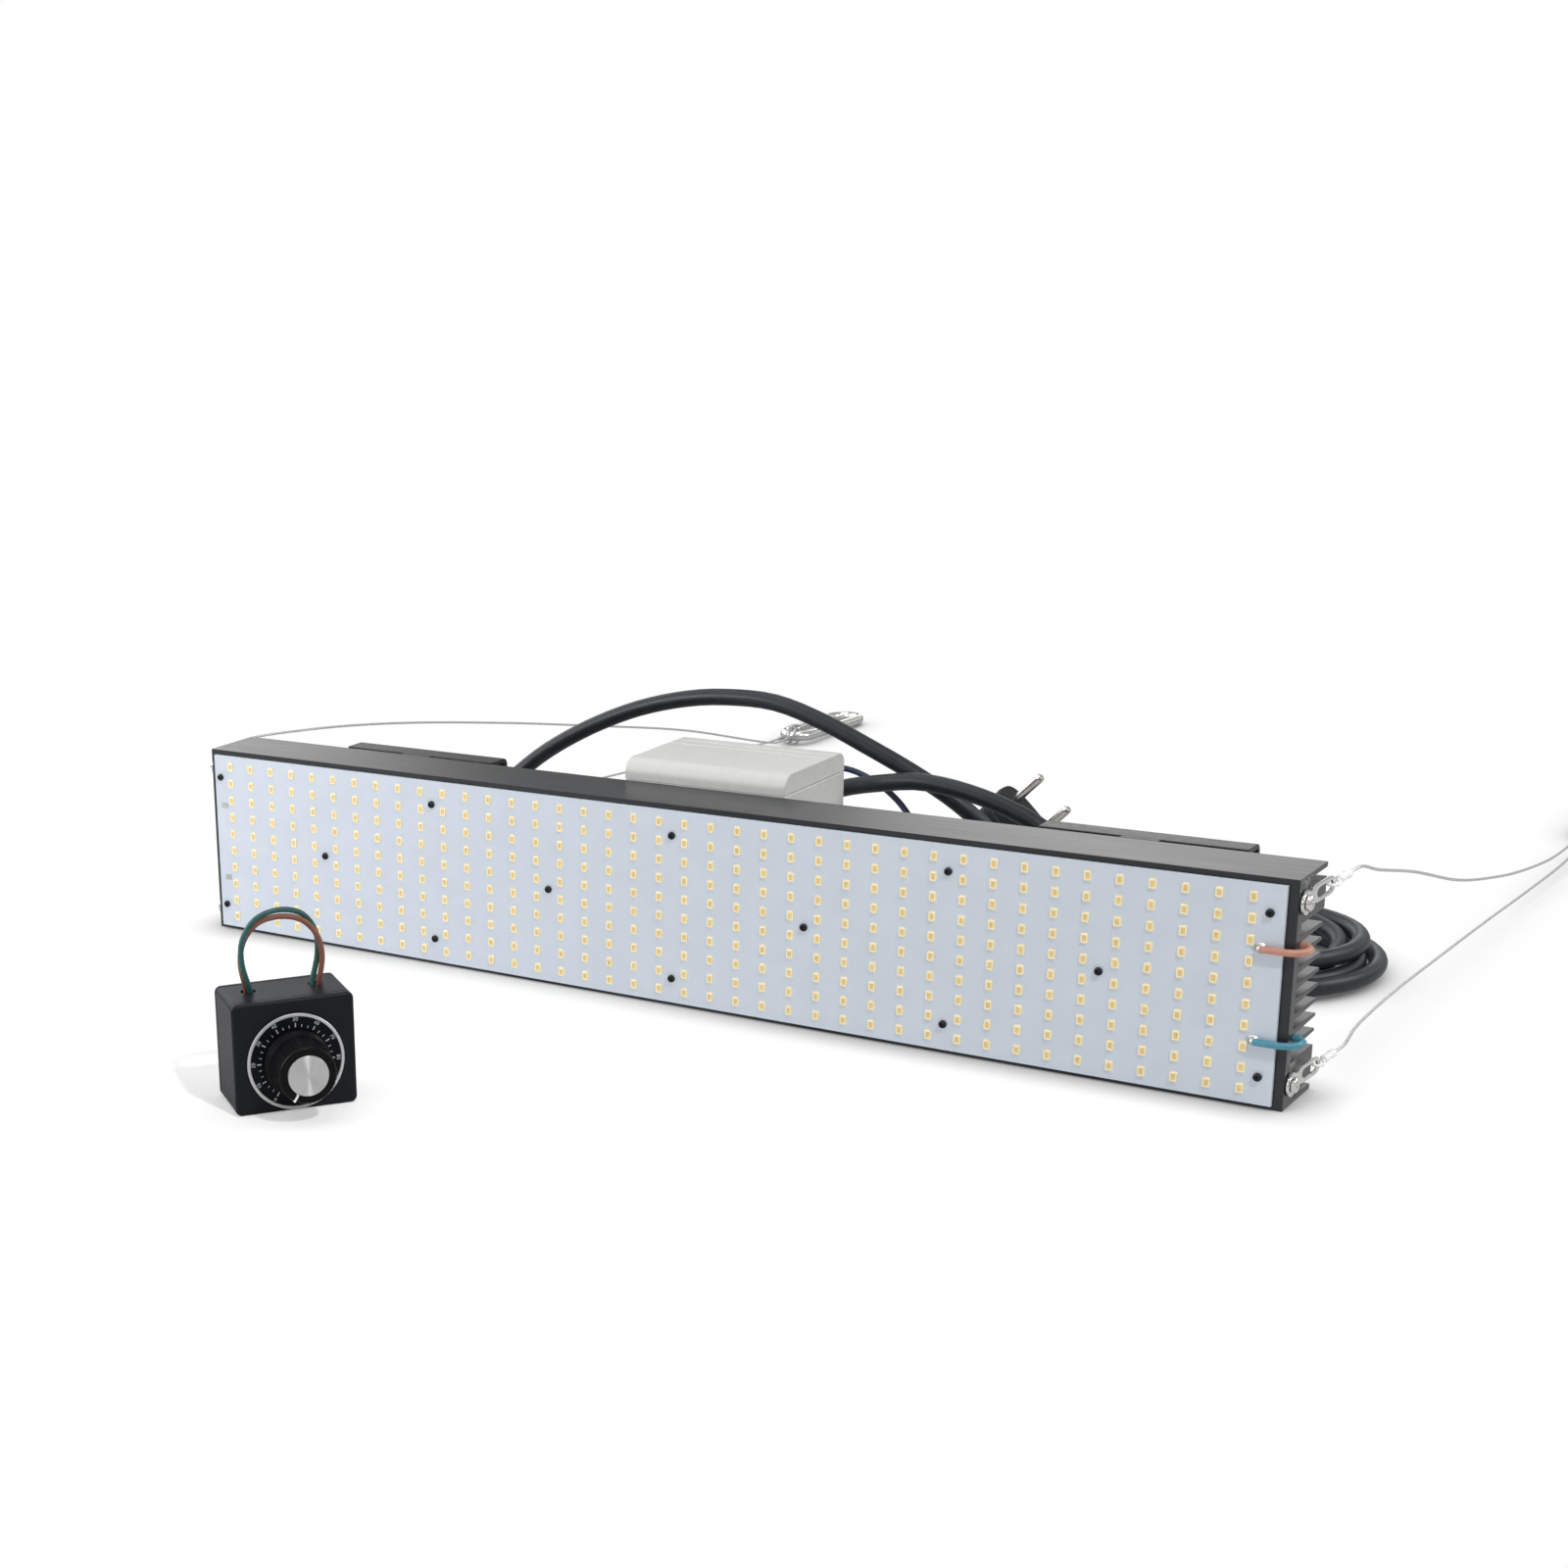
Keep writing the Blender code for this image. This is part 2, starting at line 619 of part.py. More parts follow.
def make_lug_and_screw(corner, frame, looks):
    bm = bmesh.new()
    add_lug(bm, frame)
    finish(f"link_lug_{corner}", bm, looks["chrome"])
    seat = 2 * SEAT_GAP + LUG_THICKNESS
    length = seat + END_SCREW_GRIP
    bm = bmesh.new()
    profile = screw_profile(END_SCREW_HEAD, END_SCREW_HEAD_HEIGHT, END_SCREW_SHANK, length)
    inward = frame @ Matrix.Translation((0, 0, seat)) @ Matrix.Rotation(math.pi, 4, "X")
    add_turned(bm, profile, 10, inward)
    finish(f"end_screw_{corner}", bm, looks["chrome"], None, None, True)


def hook_frame(at):
    """X runs from the hook's eye to its nose, Y across it, Z up. Its nose rests on the floor."""
    run = HOOK_LENGTH - HOOK_ROD
    drop = HOOK_EYE_HEIGHT - HOOK_ROD / 2 - SEAT_GAP
    along = Vector((0, run, -drop)).normalized()
    across = Vector((-1, 0, 0))
    turned = Matrix((along, across, along.cross(across))).transposed().to_4x4()
    return Matrix.Translation((*at, HOOK_EYE_HEIGHT)) @ turned


def gate_line():
    """The gate's pivot and direction in the hook's plane, and the nose that it closes on."""
    eye = (HOOK_EYE_WIDTH - HOOK_ROD) / 2
    bend = (HOOK_WIDTH - HOOK_ROD) / 2
    start = Vector((eye, eye))
    end = Vector((HOOK_LENGTH - HOOK_ROD - bend, bend))
    along = (end - start).normalized()
    return start + along * GATE_PIVOT, along, end - along * HOOK_NOSE


def hook_path():
    eye = (HOOK_EYE_WIDTH - HOOK_ROD) / 2
    bend = (HOOK_WIDTH - HOOK_ROD) / 2
    far = HOOK_LENGTH - HOOK_ROD - bend
    pivot, along, end = gate_line()
    nose = [tuple(end)] + arc((far, 0), bend, math.pi / 2, -math.pi / 2, 9)
    base = arc((eye, 0), eye, 1.5 * math.pi, math.pi / 2, 8)
    tongue = [pivot - along * TONGUE_ROOT, pivot + along * TONGUE_TIP]
    return nose + base + [tuple(point) for point in tongue]


def make_hook(side, at, looks):
    frame = hook_frame(at)
    pivot, along, end = gate_line()
    points = [frame @ Vector((u, v, 0)) for u, v in hook_path()]
    rod = tube("hook_rod_guide", points, HOOK_ROD, None, 2)
    mesh = bpy.data.meshes.new_from_object(rod.evaluated_get(bpy.context.evaluated_depsgraph_get()))
    bpy.data.objects.remove(rod, do_unlink=True)
    bm = bmesh.new()
    bm.from_mesh(mesh)
    bmesh.ops.remove_doubles(bm, verts=bm.verts[:], dist=1e-6)
    hook = finish(f"snap_hook_{side}", bm, looks["chrome"], None, None, True)
    local = frame @ Matrix.Translation((*pivot, 0)) @ turn_to(along)
    cheeks = bmesh.new()
    for face in (-1, 1):
        inner, outer = face * TONGUE_THICKNESS / 2, face * HOOK_ROD
        low = (-TONGUE_ROOT, -HOOK_ROD, min(inner, outer))
        add_box(cheeks, low, (2 * TONGUE_TIP, HOOK_ROD, max(inner, outer)))
    combine(hook, helper(f"tongue_cutter_{side}", cheeks, None, local), "DIFFERENCE")
    pin = bmesh.new()
    reach = GATE_DIAMETER / 2
    add_rod(pin, (0, 0, -reach), (0, 0, reach), PIVOT_PIN / 2, 12)
    combine(hook, helper(f"pivot_pin_{side}", pin, None, local), "UNION")
    make_gate(side, local, (end - pivot).length, looks)
    return frame


def turn_to(along):
    return Matrix.Rotation(math.atan2(along.y, along.x), 4, "Z")


def make_gate(side, local, nose, looks):
    """A rod whose forked tail turns on the hook's pin. Its origin is on the pin's axis."""
    bm = bmesh.new()
    tip = nose - SEAT_GAP
    add_rod(bm, (-GATE_TAIL, 0, 0), (tip, 0, 0), GATE_DIAMETER / 2, 10)
    gate = finish(f"snap_gate_{side}", bm, looks["chrome"], None, local, True)
    slot = bmesh.new()
    half = TONGUE_THICKNESS / 2 + SEAT_GAP
    add_box(slot, (-2 * GATE_TAIL, -HOOK_ROD, -half), (FORK_DEPTH, HOOK_ROD, half))
    combine(gate, helper(f"fork_cutter_{side}", slot, None, local), "DIFFERENCE")
    bore = bmesh.new()
    add_rod(bore, (0, 0, -HOOK_ROD), (0, 0, HOOK_ROD), PIVOT_PIN / 2 + PIN_CLEARANCE, 12)
    combine(gate, helper(f"gate_bore_{side}", bore, None, local), "DIFFERENCE")
    axis = local.to_3x3() @ Vector((0, 0, 1))
    print(f"snap_gate_{side} pivot", [round(v, 5) for v in local.translation], list(axis))


def make_hanger_wire(corner, lug, hook, offset, route, looks):
    """One leg from the ferrule to a crimped loop around the hook's eye."""
    _, start = ferrule_start()
    first = start + FERRULE_LENGTH + SEAT_GAP
    middle = SEAT_GAP + LUG_THICKNESS / 2
    lead = [lug @ Vector((first + step, 0, middle)) for step in (0, 4 * WIRE_DIAMETER)]
    radius = HOOK_ROD / 2 + HOOK_LOOP_CLEARANCE + WIRE_DIAMETER / 2
    bend = (HOOK_EYE_WIDTH - HOOK_ROD) / 2
    bar = bend - math.sqrt(bend**2 - offset**2)
    crimp = bar - radius - LOOP_LEAD
    ends = [hook @ Vector((u, offset, 0)) for u in (crimp - 2.5 * CRIMP_LENGTH, crimp - CRIMP_LENGTH)]
    line = smooth_route(lead + [Vector(point) for point in route] + ends, 24 * WIRE_DIAMETER)
    eye = [hook @ Vector((u, offset, w)) for u, w in loop_points(bar, radius, 155, -130, 10)]
    sleeve = [hook @ Vector((u, offset, 0)) for u in (crimp - CRIMP_LENGTH + SEAT_GAP, crimp)]
    points = line + sleeve + [hook @ Vector((crimp + LOOP_LEAD / 4, offset, 0))] + eye
    thick = CRIMP_DIAMETER / WIRE_DIAMETER
    scales = [1.0] * len(line) + [thick, thick] + [1.0] * (len(eye) + 1)
    tube(f"hanger_wire_{corner}", points, WIRE_DIAMETER, looks["wire"], 2, scales)
    print(f"hanger_wire_{corner} length", round(length_of(line), 4))


HANGER_ROUTES = {
    "left_upper": [
        (-0.2455, 0.0600, 0.0816),
        (-0.2386, 0.1169, 0.0742),
        (-0.2302, 0.1925, 0.0608),
        (-0.2212, 0.2746, 0.0443),
        (-0.2112, 0.3643, 0.0251),
    ],
    "left_lower": [
        (-0.2478, 0.0631, 0.0110),
        (-0.2455, 0.1200, 0.0118),
        (-0.2405, 0.2000, 0.0105),
        (-0.2335, 0.2900, 0.0080),
        (-0.2215, 0.3700, 0.0052),
        (-0.2065, 0.4100, 0.0050),
    ],
    "right_upper": [
        (0.2494, 0.0740, 0.0694),
        (0.2495, 0.1193, 0.0579),
        (0.2496, 0.1872, 0.0382),
        (0.2496, 0.2409, 0.0264),
        (0.2496, 0.2869, 0.0180),
        (0.2490, 0.3500, 0.0095),
    ],
    "right_lower": [
        (0.2494, 0.0631, 0.0110),
        (0.2495, 0.1041, 0.0119),
        (0.2500, 0.1646, 0.0106),
        (0.2508, 0.2303, 0.0090),
        (0.2515, 0.2920, 0.0069),
        (0.2520, 0.3550, 0.0052),
    ],
}


def make_hangers(looks):
    hooks = {"left": make_hook("left", LEFT_HOOK_AT, looks)}
    hooks["right"] = make_hook("right", RIGHT_HOOK_AT, looks)
    for corner, side, z in lug_corners():
        frame = lug_frame(side, z)
        make_lug_and_screw(corner, frame, looks)
        tip = lug_tip(frame)
        make_ferrule(corner, tip, looks)
        side_name, level = corner.split("_")
        inner = (level == "upper") == (side_name == "left")
        offset = HOOK_LOOP_SPACING / 2 * (-1 if inner else 1)
        make_hanger_wire(corner, tip, hooks[side_name], offset, HANGER_ROUTES[corner], looks)


# Rear brackets and driver


def make_bracket(side, x, looks):
    """A U of sheet that grips the heat sink by a tongue under each flange."""
    along = Matrix(((0, 0, 1, x), (1, 0, 0, 0), (0, 1, 0, 0), (0, 0, 0, 1)))
    near = SINK_BACK + BRACKET_STAND_OFF
    far = SINK_BACK + BRACKET_REACH
    top, sheet, cut = SINK_HEIGHT, BRACKET_SHEET, BRACKET_SHEET * 0.6
    outer = [(near, 0), (far - cut, 0), (far, cut), (far, top - cut), (far - cut, top), (near, top)]
    inner = [(near, top - sheet), (far - sheet, top - sheet), (far - sheet, sheet), (near, sheet)]
    bm = bmesh.new()
    add_prism(bm, [outer + inner], -BRACKET_LENGTH / 2, BRACKET_LENGTH / 2, along)
    bracket = finish(f"rear_bracket_{side}", bm, looks["bracket"])
    under = top - FLANGE_THICKNESS - SEAT_GAP
    step = SINK_BACK + SEAT_GAP
    bite = SINK_BACK - BRACKET_BITE
    tab = [
        (near + sheet, top),
        (step, top),
        (step, under),
        (bite, under),
        (bite, under - BRACKET_TONGUE),
        (near, under - BRACKET_TONGUE),
        (near + sheet, top - sheet),
    ]
    tabs = bmesh.new()
    add_prism(tabs, [tab], -BRACKET_TAB_WIDTH / 2, BRACKET_TAB_WIDTH / 2, along)
    low = [(y, top - z) for y, z in tab]
    add_prism(tabs, [low], -BRACKET_TAB_WIDTH / 2, BRACKET_TAB_WIDTH / 2, along)
    combine(bracket, helper(f"bracket_tabs_{side}", tabs), "UNION")


def driver_crown():
    """The rounded top of the driver's section, from the back to the front."""
    back, front = DRIVER_BACK_ROUND, DRIVER_FRONT_ROUND
    quarter = math.pi / 2
    crown = arc((DRIVER_BACK - back, DRIVER_TOP - back), back, 0, quarter, 4)
    return crown + arc((DRIVER_FRONT + front, DRIVER_TOP - front), front, quarter, 2 * quarter, 5)


def make_driver(looks):
    along = Matrix(((0, 0, 1, DRIVER_SHIFT_X), (1, 0, 0, 0), (0, 1, 0, 0), (0, 0, 0, 1)))
    seam = DRIVER_TOP - DRIVER_LID_HEIGHT
    half = DRIVER_LENGTH / 2
    bm = bmesh.new()
    lid = [(DRIVER_BACK, seam), *driver_crown(), (DRIVER_FRONT, seam)]
    add_prism(bm, [lid], -half, half, along)
    cover = finish("driver_cover", bm, looks["driver"])
    soften(cover, DRIVER_END_EASE)
    bm = bmesh.new()
    rim = seam - SEAT_GAP
    base = [
        (DRIVER_FRONT, DRIVER_BOTTOM),
        (DRIVER_BACK, DRIVER_BOTTOM),
        (DRIVER_BACK, rim),
        (DRIVER_FRONT, rim),
    ]
    add_prism(bm, [base], -half, half, along)
    case = finish("driver_base", bm, looks["driver"])
    ears, holes = bmesh.new(), bmesh.new()
    back = DRIVER_FRONT + DRIVER_EAR_THICKNESS
    for x, z in driver_screw_places():
        rise = DRIVER_EAR_HEIGHT / 2
        side = 1 if x > DRIVER_SHIFT_X else -1
        reach = sorted((x + side * DRIVER_EAR / 2, x - side * DRIVER_EAR))
        add_box(ears, (reach[0], DRIVER_FRONT, z - rise), (reach[1], back, z + rise))
        ends = ((x, DRIVER_FRONT - SEAT_GAP, z), (x, back + SEAT_GAP, z))
        add_rod(holes, *ends, END_SCREW_SHANK / 2 + SEAT_GAP, 8)
    combine(case, helper("driver_ears", ears), "UNION")
    combine(case, helper("driver_ear_holes", holes), "DIFFERENCE")
    make_driver_screws(back, looks)


def soften(obj, width):
    step = obj.modifiers.new("edges", "BEVEL")
    step.width = width
    step.segments = 1
    step.limit_method = "ANGLE"
    step.angle_limit = math.radians(30)


def make_driver_screws(seat, looks):
    length = SEAT_GAP + DRIVER_EAR_THICKNESS + SEAT_GAP + DRIVER_SCREW_GRIP
    profile = screw_profile(END_SCREW_HEAD, END_SCREW_HEAD_HEIGHT, END_SCREW_SHANK, length)
    for side, (x, z) in zip(("left", "right"), driver_screw_places()):
        bm = bmesh.new()
        add_turned(bm, profile, 10, frame_of((0, 0, 0), (0, -1, 0), (0, 0, 1)))
        place = Matrix.Translation((x, seat + SEAT_GAP, z))
        finish(f"driver_screw_{side}", bm, looks["metal"], None, place, True)


# Mains lead


def gland_place():
    return Vector((DRIVER_LEFT - SEAT_GAP, DRIVER_FRONT + GLAND_INSET_Y, DRIVER_BOTTOM + GLAND_RISE))


def make_gland(looks):
    profile = [
        (0, 0),
        (GLAND_ROOT / 2, 0),
        (GLAND_ROOT / 2, GLAND_LENGTH * 0.15),
        (GLAND_TIP / 2, GLAND_LENGTH),
        (0, GLAND_LENGTH),
    ]
    bm = bmesh.new()
    add_turned(bm, profile, 12, frame_of((0, 0, 0), (-1, 0, 0), (0, 0, 1)))
    finish("cable_gland", bm, looks["rubber"], None, Matrix.Translation(gland_place()), True)


def coil_points():
    """One spiral that runs in on the lower layer and out again on the upper one."""
    floor = TIE_BAND + TIE_CLEARANCE + SEAT_GAP + CABLE_DIAMETER / 2
    reverse = COIL_INWARD_TURNS + 0.25
    turns = COIL_INWARD_TURNS + 0.5 + COIL_OUTWARD_TURNS
    points = []
    for i in range(round(turns * COIL_STEPS_PER_TURN) + 1):
        turn = i / COIL_STEPS_PER_TURN
        angle = turn * math.tau - math.pi / 2
        rise = min(1.0, max(0.0, (turn - COIL_INWARD_TURNS) / 0.5))
        radius = COIL_RADIUS - COIL_PITCH * min(turn, 2 * reverse - turn)
        x = COIL_CENTRE[0] + radius * math.cos(angle)
        y = COIL_CENTRE[1] + radius * math.sin(angle)
        points.append(Vector((x, y, floor + COIL_LAYER * (3 * rise**2 - 2 * rise**3))))
    lead_in = points[0] - Vector((CABLE_DIAMETER, 0, 0))
    lead_out = points[-1] - Vector((0, CABLE_DIAMETER, 0))
    return [lead_in] + points + [lead_out]


def least_self_gap(points, diameter):
    fine = evenly(points, diameter / 4)
    apart = 12
    least = math.inf
    for i, a in enumerate(fine):
        for b in fine[i + apart :]:
            least = min(least, (a - b).length)
    return least - diameter


def make_coil(looks):
    points = coil_points()
    print("coil least self gap mm", round(1000 * least_self_gap(points, CABLE_DIAMETER), 2))
    print("coil length", round(length_of(points), 4))
    tube("mains_cable_coil", points, CABLE_DIAMETER, looks["cable"], 1)
    make_tie(points, looks)
    return points[0], points[-1]


def make_tie(points, looks):
    """A band around the coil's turns where they pass behind its middle."""
    half = CABLE_DIAMETER / 2 + TIE_CLEARANCE
    near = [p for p in points if abs(p.x - COIL_CENTRE[0]) < TIE_WIDTH and p.y > COIL_CENTRE[1]]
    low_y = min(p.y for p in near) - half
    high_y = max(p.y for p in near) + half
    low_z = min(p.z for p in near) - half
    high_z = max(p.z for p in near) + half

    def ring(grow, cut):
        y0, y1, z0, z1 = low_y - grow, high_y + grow, low_z - grow, high_z + grow
        corners = [(y0 + cut, z0), (y1 - cut, z0), (y1, z0 + cut), (y1, z1 - cut)]
        return corners + [(y1 - cut, z1), (y0 + cut, z1), (y0, z1 - cut), (y0, z0 + cut)]

    along = Matrix(((0, 0, 1, COIL_CENTRE[0]), (1, 0, 0, 0), (0, 1, 0, 0), (0, 0, 0, 1)))
    bm = bmesh.new()
    loops = [ring(TIE_BAND, 2 * TIE_BAND), ring(0, TIE_BAND)]
    add_prism(bm, loops, -TIE_WIDTH / 2, TIE_WIDTH / 2, along)
    finish("coil_tie", bm, looks["tie"])


STUB_ROUTE = [
    (-0.1040, 0.0335, 0.0640),
    (-0.1185, 0.0500, 0.0630),
    (-0.1180, 0.0700, 0.0620),
    (-0.1030, 0.0850, 0.0612),
    (-0.0820, 0.0890, 0.0606),
    (-0.0500, 0.0860, 0.0610),
    (-0.0150, 0.0795, 0.0650),
    (0.0120, 0.0762, 0.0715),
    (0.0325, 0.0752, 0.0785),
    (0.0482, 0.0750, 0.0818),
    (0.0614, 0.0750, 0.0838),
    (0.0745, 0.0750, 0.0833),
    (0.0917, 0.0749, 0.0801),
    (0.1088, 0.0748, 0.0746),
    (0.1190, 0.0745, 0.0695),
    (0.1290, 0.0747, 0.0620),
    (0.1380, 0.0765, 0.0515),
    (0.1445, 0.0797, 0.0405),
    (0.1500, 0.0845, 0.0293),
    (0.1552, 0.0905, 0.0185),
    (0.1602, 0.0960, 0.0105),
]

ARCH_ROUTE = [
    (0.1343, 0.1300, 0.0136),
    (0.1315, 0.1120, 0.0118),
    (0.1245, 0.0950, 0.0088),
    (0.1125, 0.0800, 0.0062),
    (0.0960, 0.0680, 0.0045),
    (0.0760, 0.0600, 0.0040),
    (0.0500, 0.0555, 0.0040),
    (0.0000, 0.0525, 0.0040),
    (-0.0600, 0.0520, 0.0040),
    (-0.1050, 0.0520, 0.0040),
    (-0.1250, 0.0525, 0.0043),
    (-0.1440, 0.0545, 0.0082),
    (-0.1570, 0.0595, 0.0190),
    (-0.1610, 0.0665, 0.0330),
    (-0.1570, 0.0735, 0.0465),
    (-0.1480, 0.0800, 0.0585),
    (-0.1364, 0.0845, 0.0697),
    (-0.1253, 0.0855, 0.0779),
    (-0.1036, 0.0855, 0.0902),
    (-0.0776, 0.0855, 0.1012),
    (-0.0526, 0.0855, 0.1077),
    (-0.0330, 0.0855, 0.1100),
    (-0.0090, 0.0855, 0.1095),
    (0.0144, 0.0855, 0.1028),
    (0.0330, 0.0857, 0.0950),
    (0.0558, 0.0865, 0.0844),
    (0.0750, 0.0895, 0.0725),
    (0.0910, 0.0955, 0.0570),
    (0.1030, 0.1055, 0.0400),
    (0.1100, 0.1200, 0.0230),
    (0.1100, 0.1410, 0.0105),
    (0.1020, 0.1650, 0.0050),
    (0.0880, 0.1920, 0.0040),
    (0.0680, 0.2250, 0.0040),
    (0.0400, 0.2530, 0.0040),
    (0.0060, 0.2630, 0.0040),
    (-0.0250, 0.2510, 0.0040),
    (-0.0380, 0.2260, 0.0040),
    (-0.0270, 0.2040, 0.0040),
    (-0.0060, 0.1970, 0.0040),
    (0.0120, 0.1972, 0.0046),
]


def make_cable(looks):
    coil_in, coil_out = make_coil(looks)
    gap = Vector((SEAT_GAP, 0, 0))
    start = gland_place() - Vector((GLAND_LENGTH + SEAT_GAP, 0, 0))
    head = [start, start - Vector((1.5 * CABLE_DIAMETER, 0, 0))]
    foot = [coil_in - gap - Vector((CABLE_DIAMETER, 0, 0)), coil_in - gap]
    run = smooth_route(head + STUB_ROUTE + foot, 2.5 * CABLE_DIAMETER)
    tube("mains_cable_stub", run, CABLE_DIAMETER, looks["cable"], 2)
    axis = Vector(PLUG_AXIS).normalized()
    tail = Vector(PLUG_NOSE) - axis * (PLUG_BODY_LENGTH + PLUG_RELIEF_LENGTH + SEAT_GAP)
    out = coil_out - Vector((0, SEAT_GAP, 0))
    head = [out, out - Vector((0, 0.6 * CABLE_DIAMETER, 0))]
    foot = [tail - axis * 0.8 * CABLE_DIAMETER, tail]
    arch = smooth_route(head + ARCH_ROUTE + foot, 2.5 * CABLE_DIAMETER)
    tube("mains_cable_arch", arch, CABLE_DIAMETER, looks["cable"], 2)
    print("cable stretches", round(length_of(run), 4), round(length_of(arch), 4))


def plug_ring(bm, frame, width, thickness, height):
    """Sixteen points of a rounded rectangle at one station of the plug."""
    ring = []
    for i in range(16):
        a = (i + 0.5) / 16 * math.tau
        c, s = math.cos(a), math.sin(a)
        u = math.copysign(abs(c) ** 0.6, c) * width / 2
        v = math.copysign(abs(s) ** 0.6, s) * thickness / 2
        ring.append(bm.verts.new(frame @ Vector((u, v, height))))
    return ring


def make_plug(looks):
    frame = frame_of(PLUG_NOSE, PLUG_AXIS, PLUG_ACROSS)
    body, whole = PLUG_BODY_LENGTH, PLUG_BODY_LENGTH + PLUG_RELIEF_LENGTH
    tip = PLUG_RELIEF_TIP
    stations = [
        (PLUG_WIDTH * 0.94, PLUG_THICKNESS * 0.88, 0),
        (PLUG_WIDTH, PLUG_THICKNESS, -body * 0.07),
        (PLUG_WIDTH * 0.96, PLUG_THICKNESS, -body * 0.5),
        (PLUG_WIDTH * 0.72, PLUG_THICKNESS * 0.95, -body * 0.85),
        (tip * 1.45, tip * 1.35, -body),
        (tip, tip, -whole),
    ]
    bm = bmesh.new()
    rings = [plug_ring(bm, frame, *station) for station in stations]
    for first, second in zip(rings, rings[1:]):
        for i in range(16):
            j = (i + 1) % 16
            bm.faces.new((first[i], first[j], second[j], second[i]))
    bm.faces.new(rings[0])
    bm.faces.new(rings[-1])
    plug = finish("plug_body", bm, looks["cable"], None, None, True)
    sockets = bmesh.new()
    for number, side in ((1, -1), (2, 1)):
        u = side * PIN_SPACING / 2
        ends = (frame @ Vector((u, 0, -PIN_ROOT - SEAT_GAP)), frame @ Vector((u, 0, SEAT_GAP)))
        add_rod(sockets, *ends, PIN_DIAMETER / 2 + SEAT_GAP, 10)
        make_plug_pin(number, frame @ Matrix.Translation((u, 0, 0)), looks)
    combine(plug, helper("pin_sockets", sockets), "DIFFERENCE")


def make_plug_pin(number, frame, looks):
    r = PIN_DIAMETER / 2
    profile = [
        (0, -PIN_ROOT),
        (r, -PIN_ROOT),
        (r, PIN_LENGTH - r),
        (r * 0.72, PIN_LENGTH - r * 0.3),
        (0, PIN_LENGTH),
    ]
    bm = bmesh.new()
    add_turned(bm, profile, 10, frame)
    finish(f"plug_pin_{number}", bm, looks["nickel"], None, None, True)


# LED leads


def lead_turn(z):
    """From the pad, in a half circle round the panel's end, and into a fin channel."""
    end = SINK_LENGTH / 2
    lie = BOARD_FRONT - LEAD_DIAMETER / 2 - SEAT_GAP
    pad = BOARD_SHIFT_X + BOARD_LENGTH / 2 - LEAD_PAD_INSET
    centre = (end - LEAD_TURN_SETBACK, (lie + LEAD_MOUTH_Y) / 2)
    bend = arc(centre, (LEAD_MOUTH_Y - lie) / 2, -math.pi / 2, math.pi / 2, 5)
    line = [(pad, lie), (pad + 2 * LEAD_DIAMETER, lie), *bend]
    line += [(end - 8 * LEAD_DIAMETER, LEAD_MOUTH_Y), (end - 20 * LEAD_DIAMETER, LEAD_CHANNEL_Y)]
    return [(x, y, z) for x, y in line]


def make_leads(looks):
    deep = LEAD_CHANNEL_Y
    for name, channel, look, run in (
        ("positive_lead", POSITIVE_CHANNEL, "positive", positive_run),
        ("negative_lead", NEGATIVE_CHANNEL, "negative", negative_run),
    ):
        z = channel_height(channel)
        points = smooth_route(lead_turn(z) + run(z, deep), 8 * LEAD_DIAMETER)
        tube(name, points, LEAD_DIAMETER, looks[look], 2)


def positive_run(z, deep):
    """Along the fin channel and into the driver's right end."""
    right = DRIVER_RIGHT
    entry = DRIVER_BOTTOM + DRIVER_HEIGHT * 0.15
    return [
        (right + 0.060, deep, z),
        (right + 0.030, deep, z),
        (right + 0.022, deep + 0.004, z),
        (right + 0.016, SINK_BACK + 0.003, z + (entry - z) / 4),
        (right + 0.010, SINK_BACK + 0.012, entry),
        (right + 0.004, SINK_BACK + 0.016, entry),
        (right + SEAT_GAP, SINK_BACK + 0.0165, entry),
    ]


def negative_run(z, deep):
    """Along the fin channel, up behind the driver and into its back."""
    right = DRIVER_RIGHT
    entry = DRIVER_TOP - DRIVER_LID_HEIGHT - LEAD_DIAMETER
    return [
        (right + 0.110, deep, z),
        (right + 0.085, deep, z),
        (right + 0.075, deep + 0.005, z),
        (right + 0.069, SINK_BACK + 0.004, z + 0.0006),
        (right + 0.063, SINK_BACK + 0.016, z + 0.0075),
        (right + 0.050, SINK_BACK + 0.036, z + 0.018),
        (right + 0.036, SINK_BACK + 0.056, z + 0.030),
        (right + 0.022, SINK_BACK + 0.0665, z + 0.0435),
        (right + 0.014, SINK_BACK + 0.0670, z + 0.0505),
        (right + 0.007, SINK_BACK + 0.0670, z + 0.0545),
        (right - 0.004, SINK_BACK + 0.0680, entry - 0.0005),
        (right - 0.016, DRIVER_BACK + 0.0105, entry + 0.0012),
        (right - 0.0225, DRIVER_BACK + 0.006, entry + 0.001),
        (right - 0.0240, DRIVER_BACK + 2 * LEAD_DIAMETER / 3, entry + 0.001),
        (right - 0.0240, DRIVER_BACK + SEAT_GAP, entry + 0.001),
    ]


# Dimmer


def rounded_rectangle(width, low, high, radius):
    """A rectangle with round corners, centred across, as across and up pairs."""
    half = width / 2 - radius
    quarter = math.pi / 2
    outline = []
    for i, (u, v) in enumerate(((half, high), (-half, high), (-half, low), (half, low))):
        centre_v = v - radius if v == high else v + radius
        outline += arc((u, centre_v), radius, i * quarter, (i + 1) * quarter, 3)
    return outline


def dimmer_base():
    base = bpy.data.objects.new("dimmer_base", None)
    bpy.context.scene.collection.objects.link(base)
    base.matrix_world = Matrix.Translation((*DIMMER_AT, 0)) @ Matrix.Rotation(DIMMER_TURN, 4, "Z")
    return base


def from_front():
    """Across, up and into the dimmer, from its front face."""
    return Matrix(((1, 0, 0, 0), (0, 0, 1, 0), (0, 1, 0, 0), (0, 0, 0, 1)))


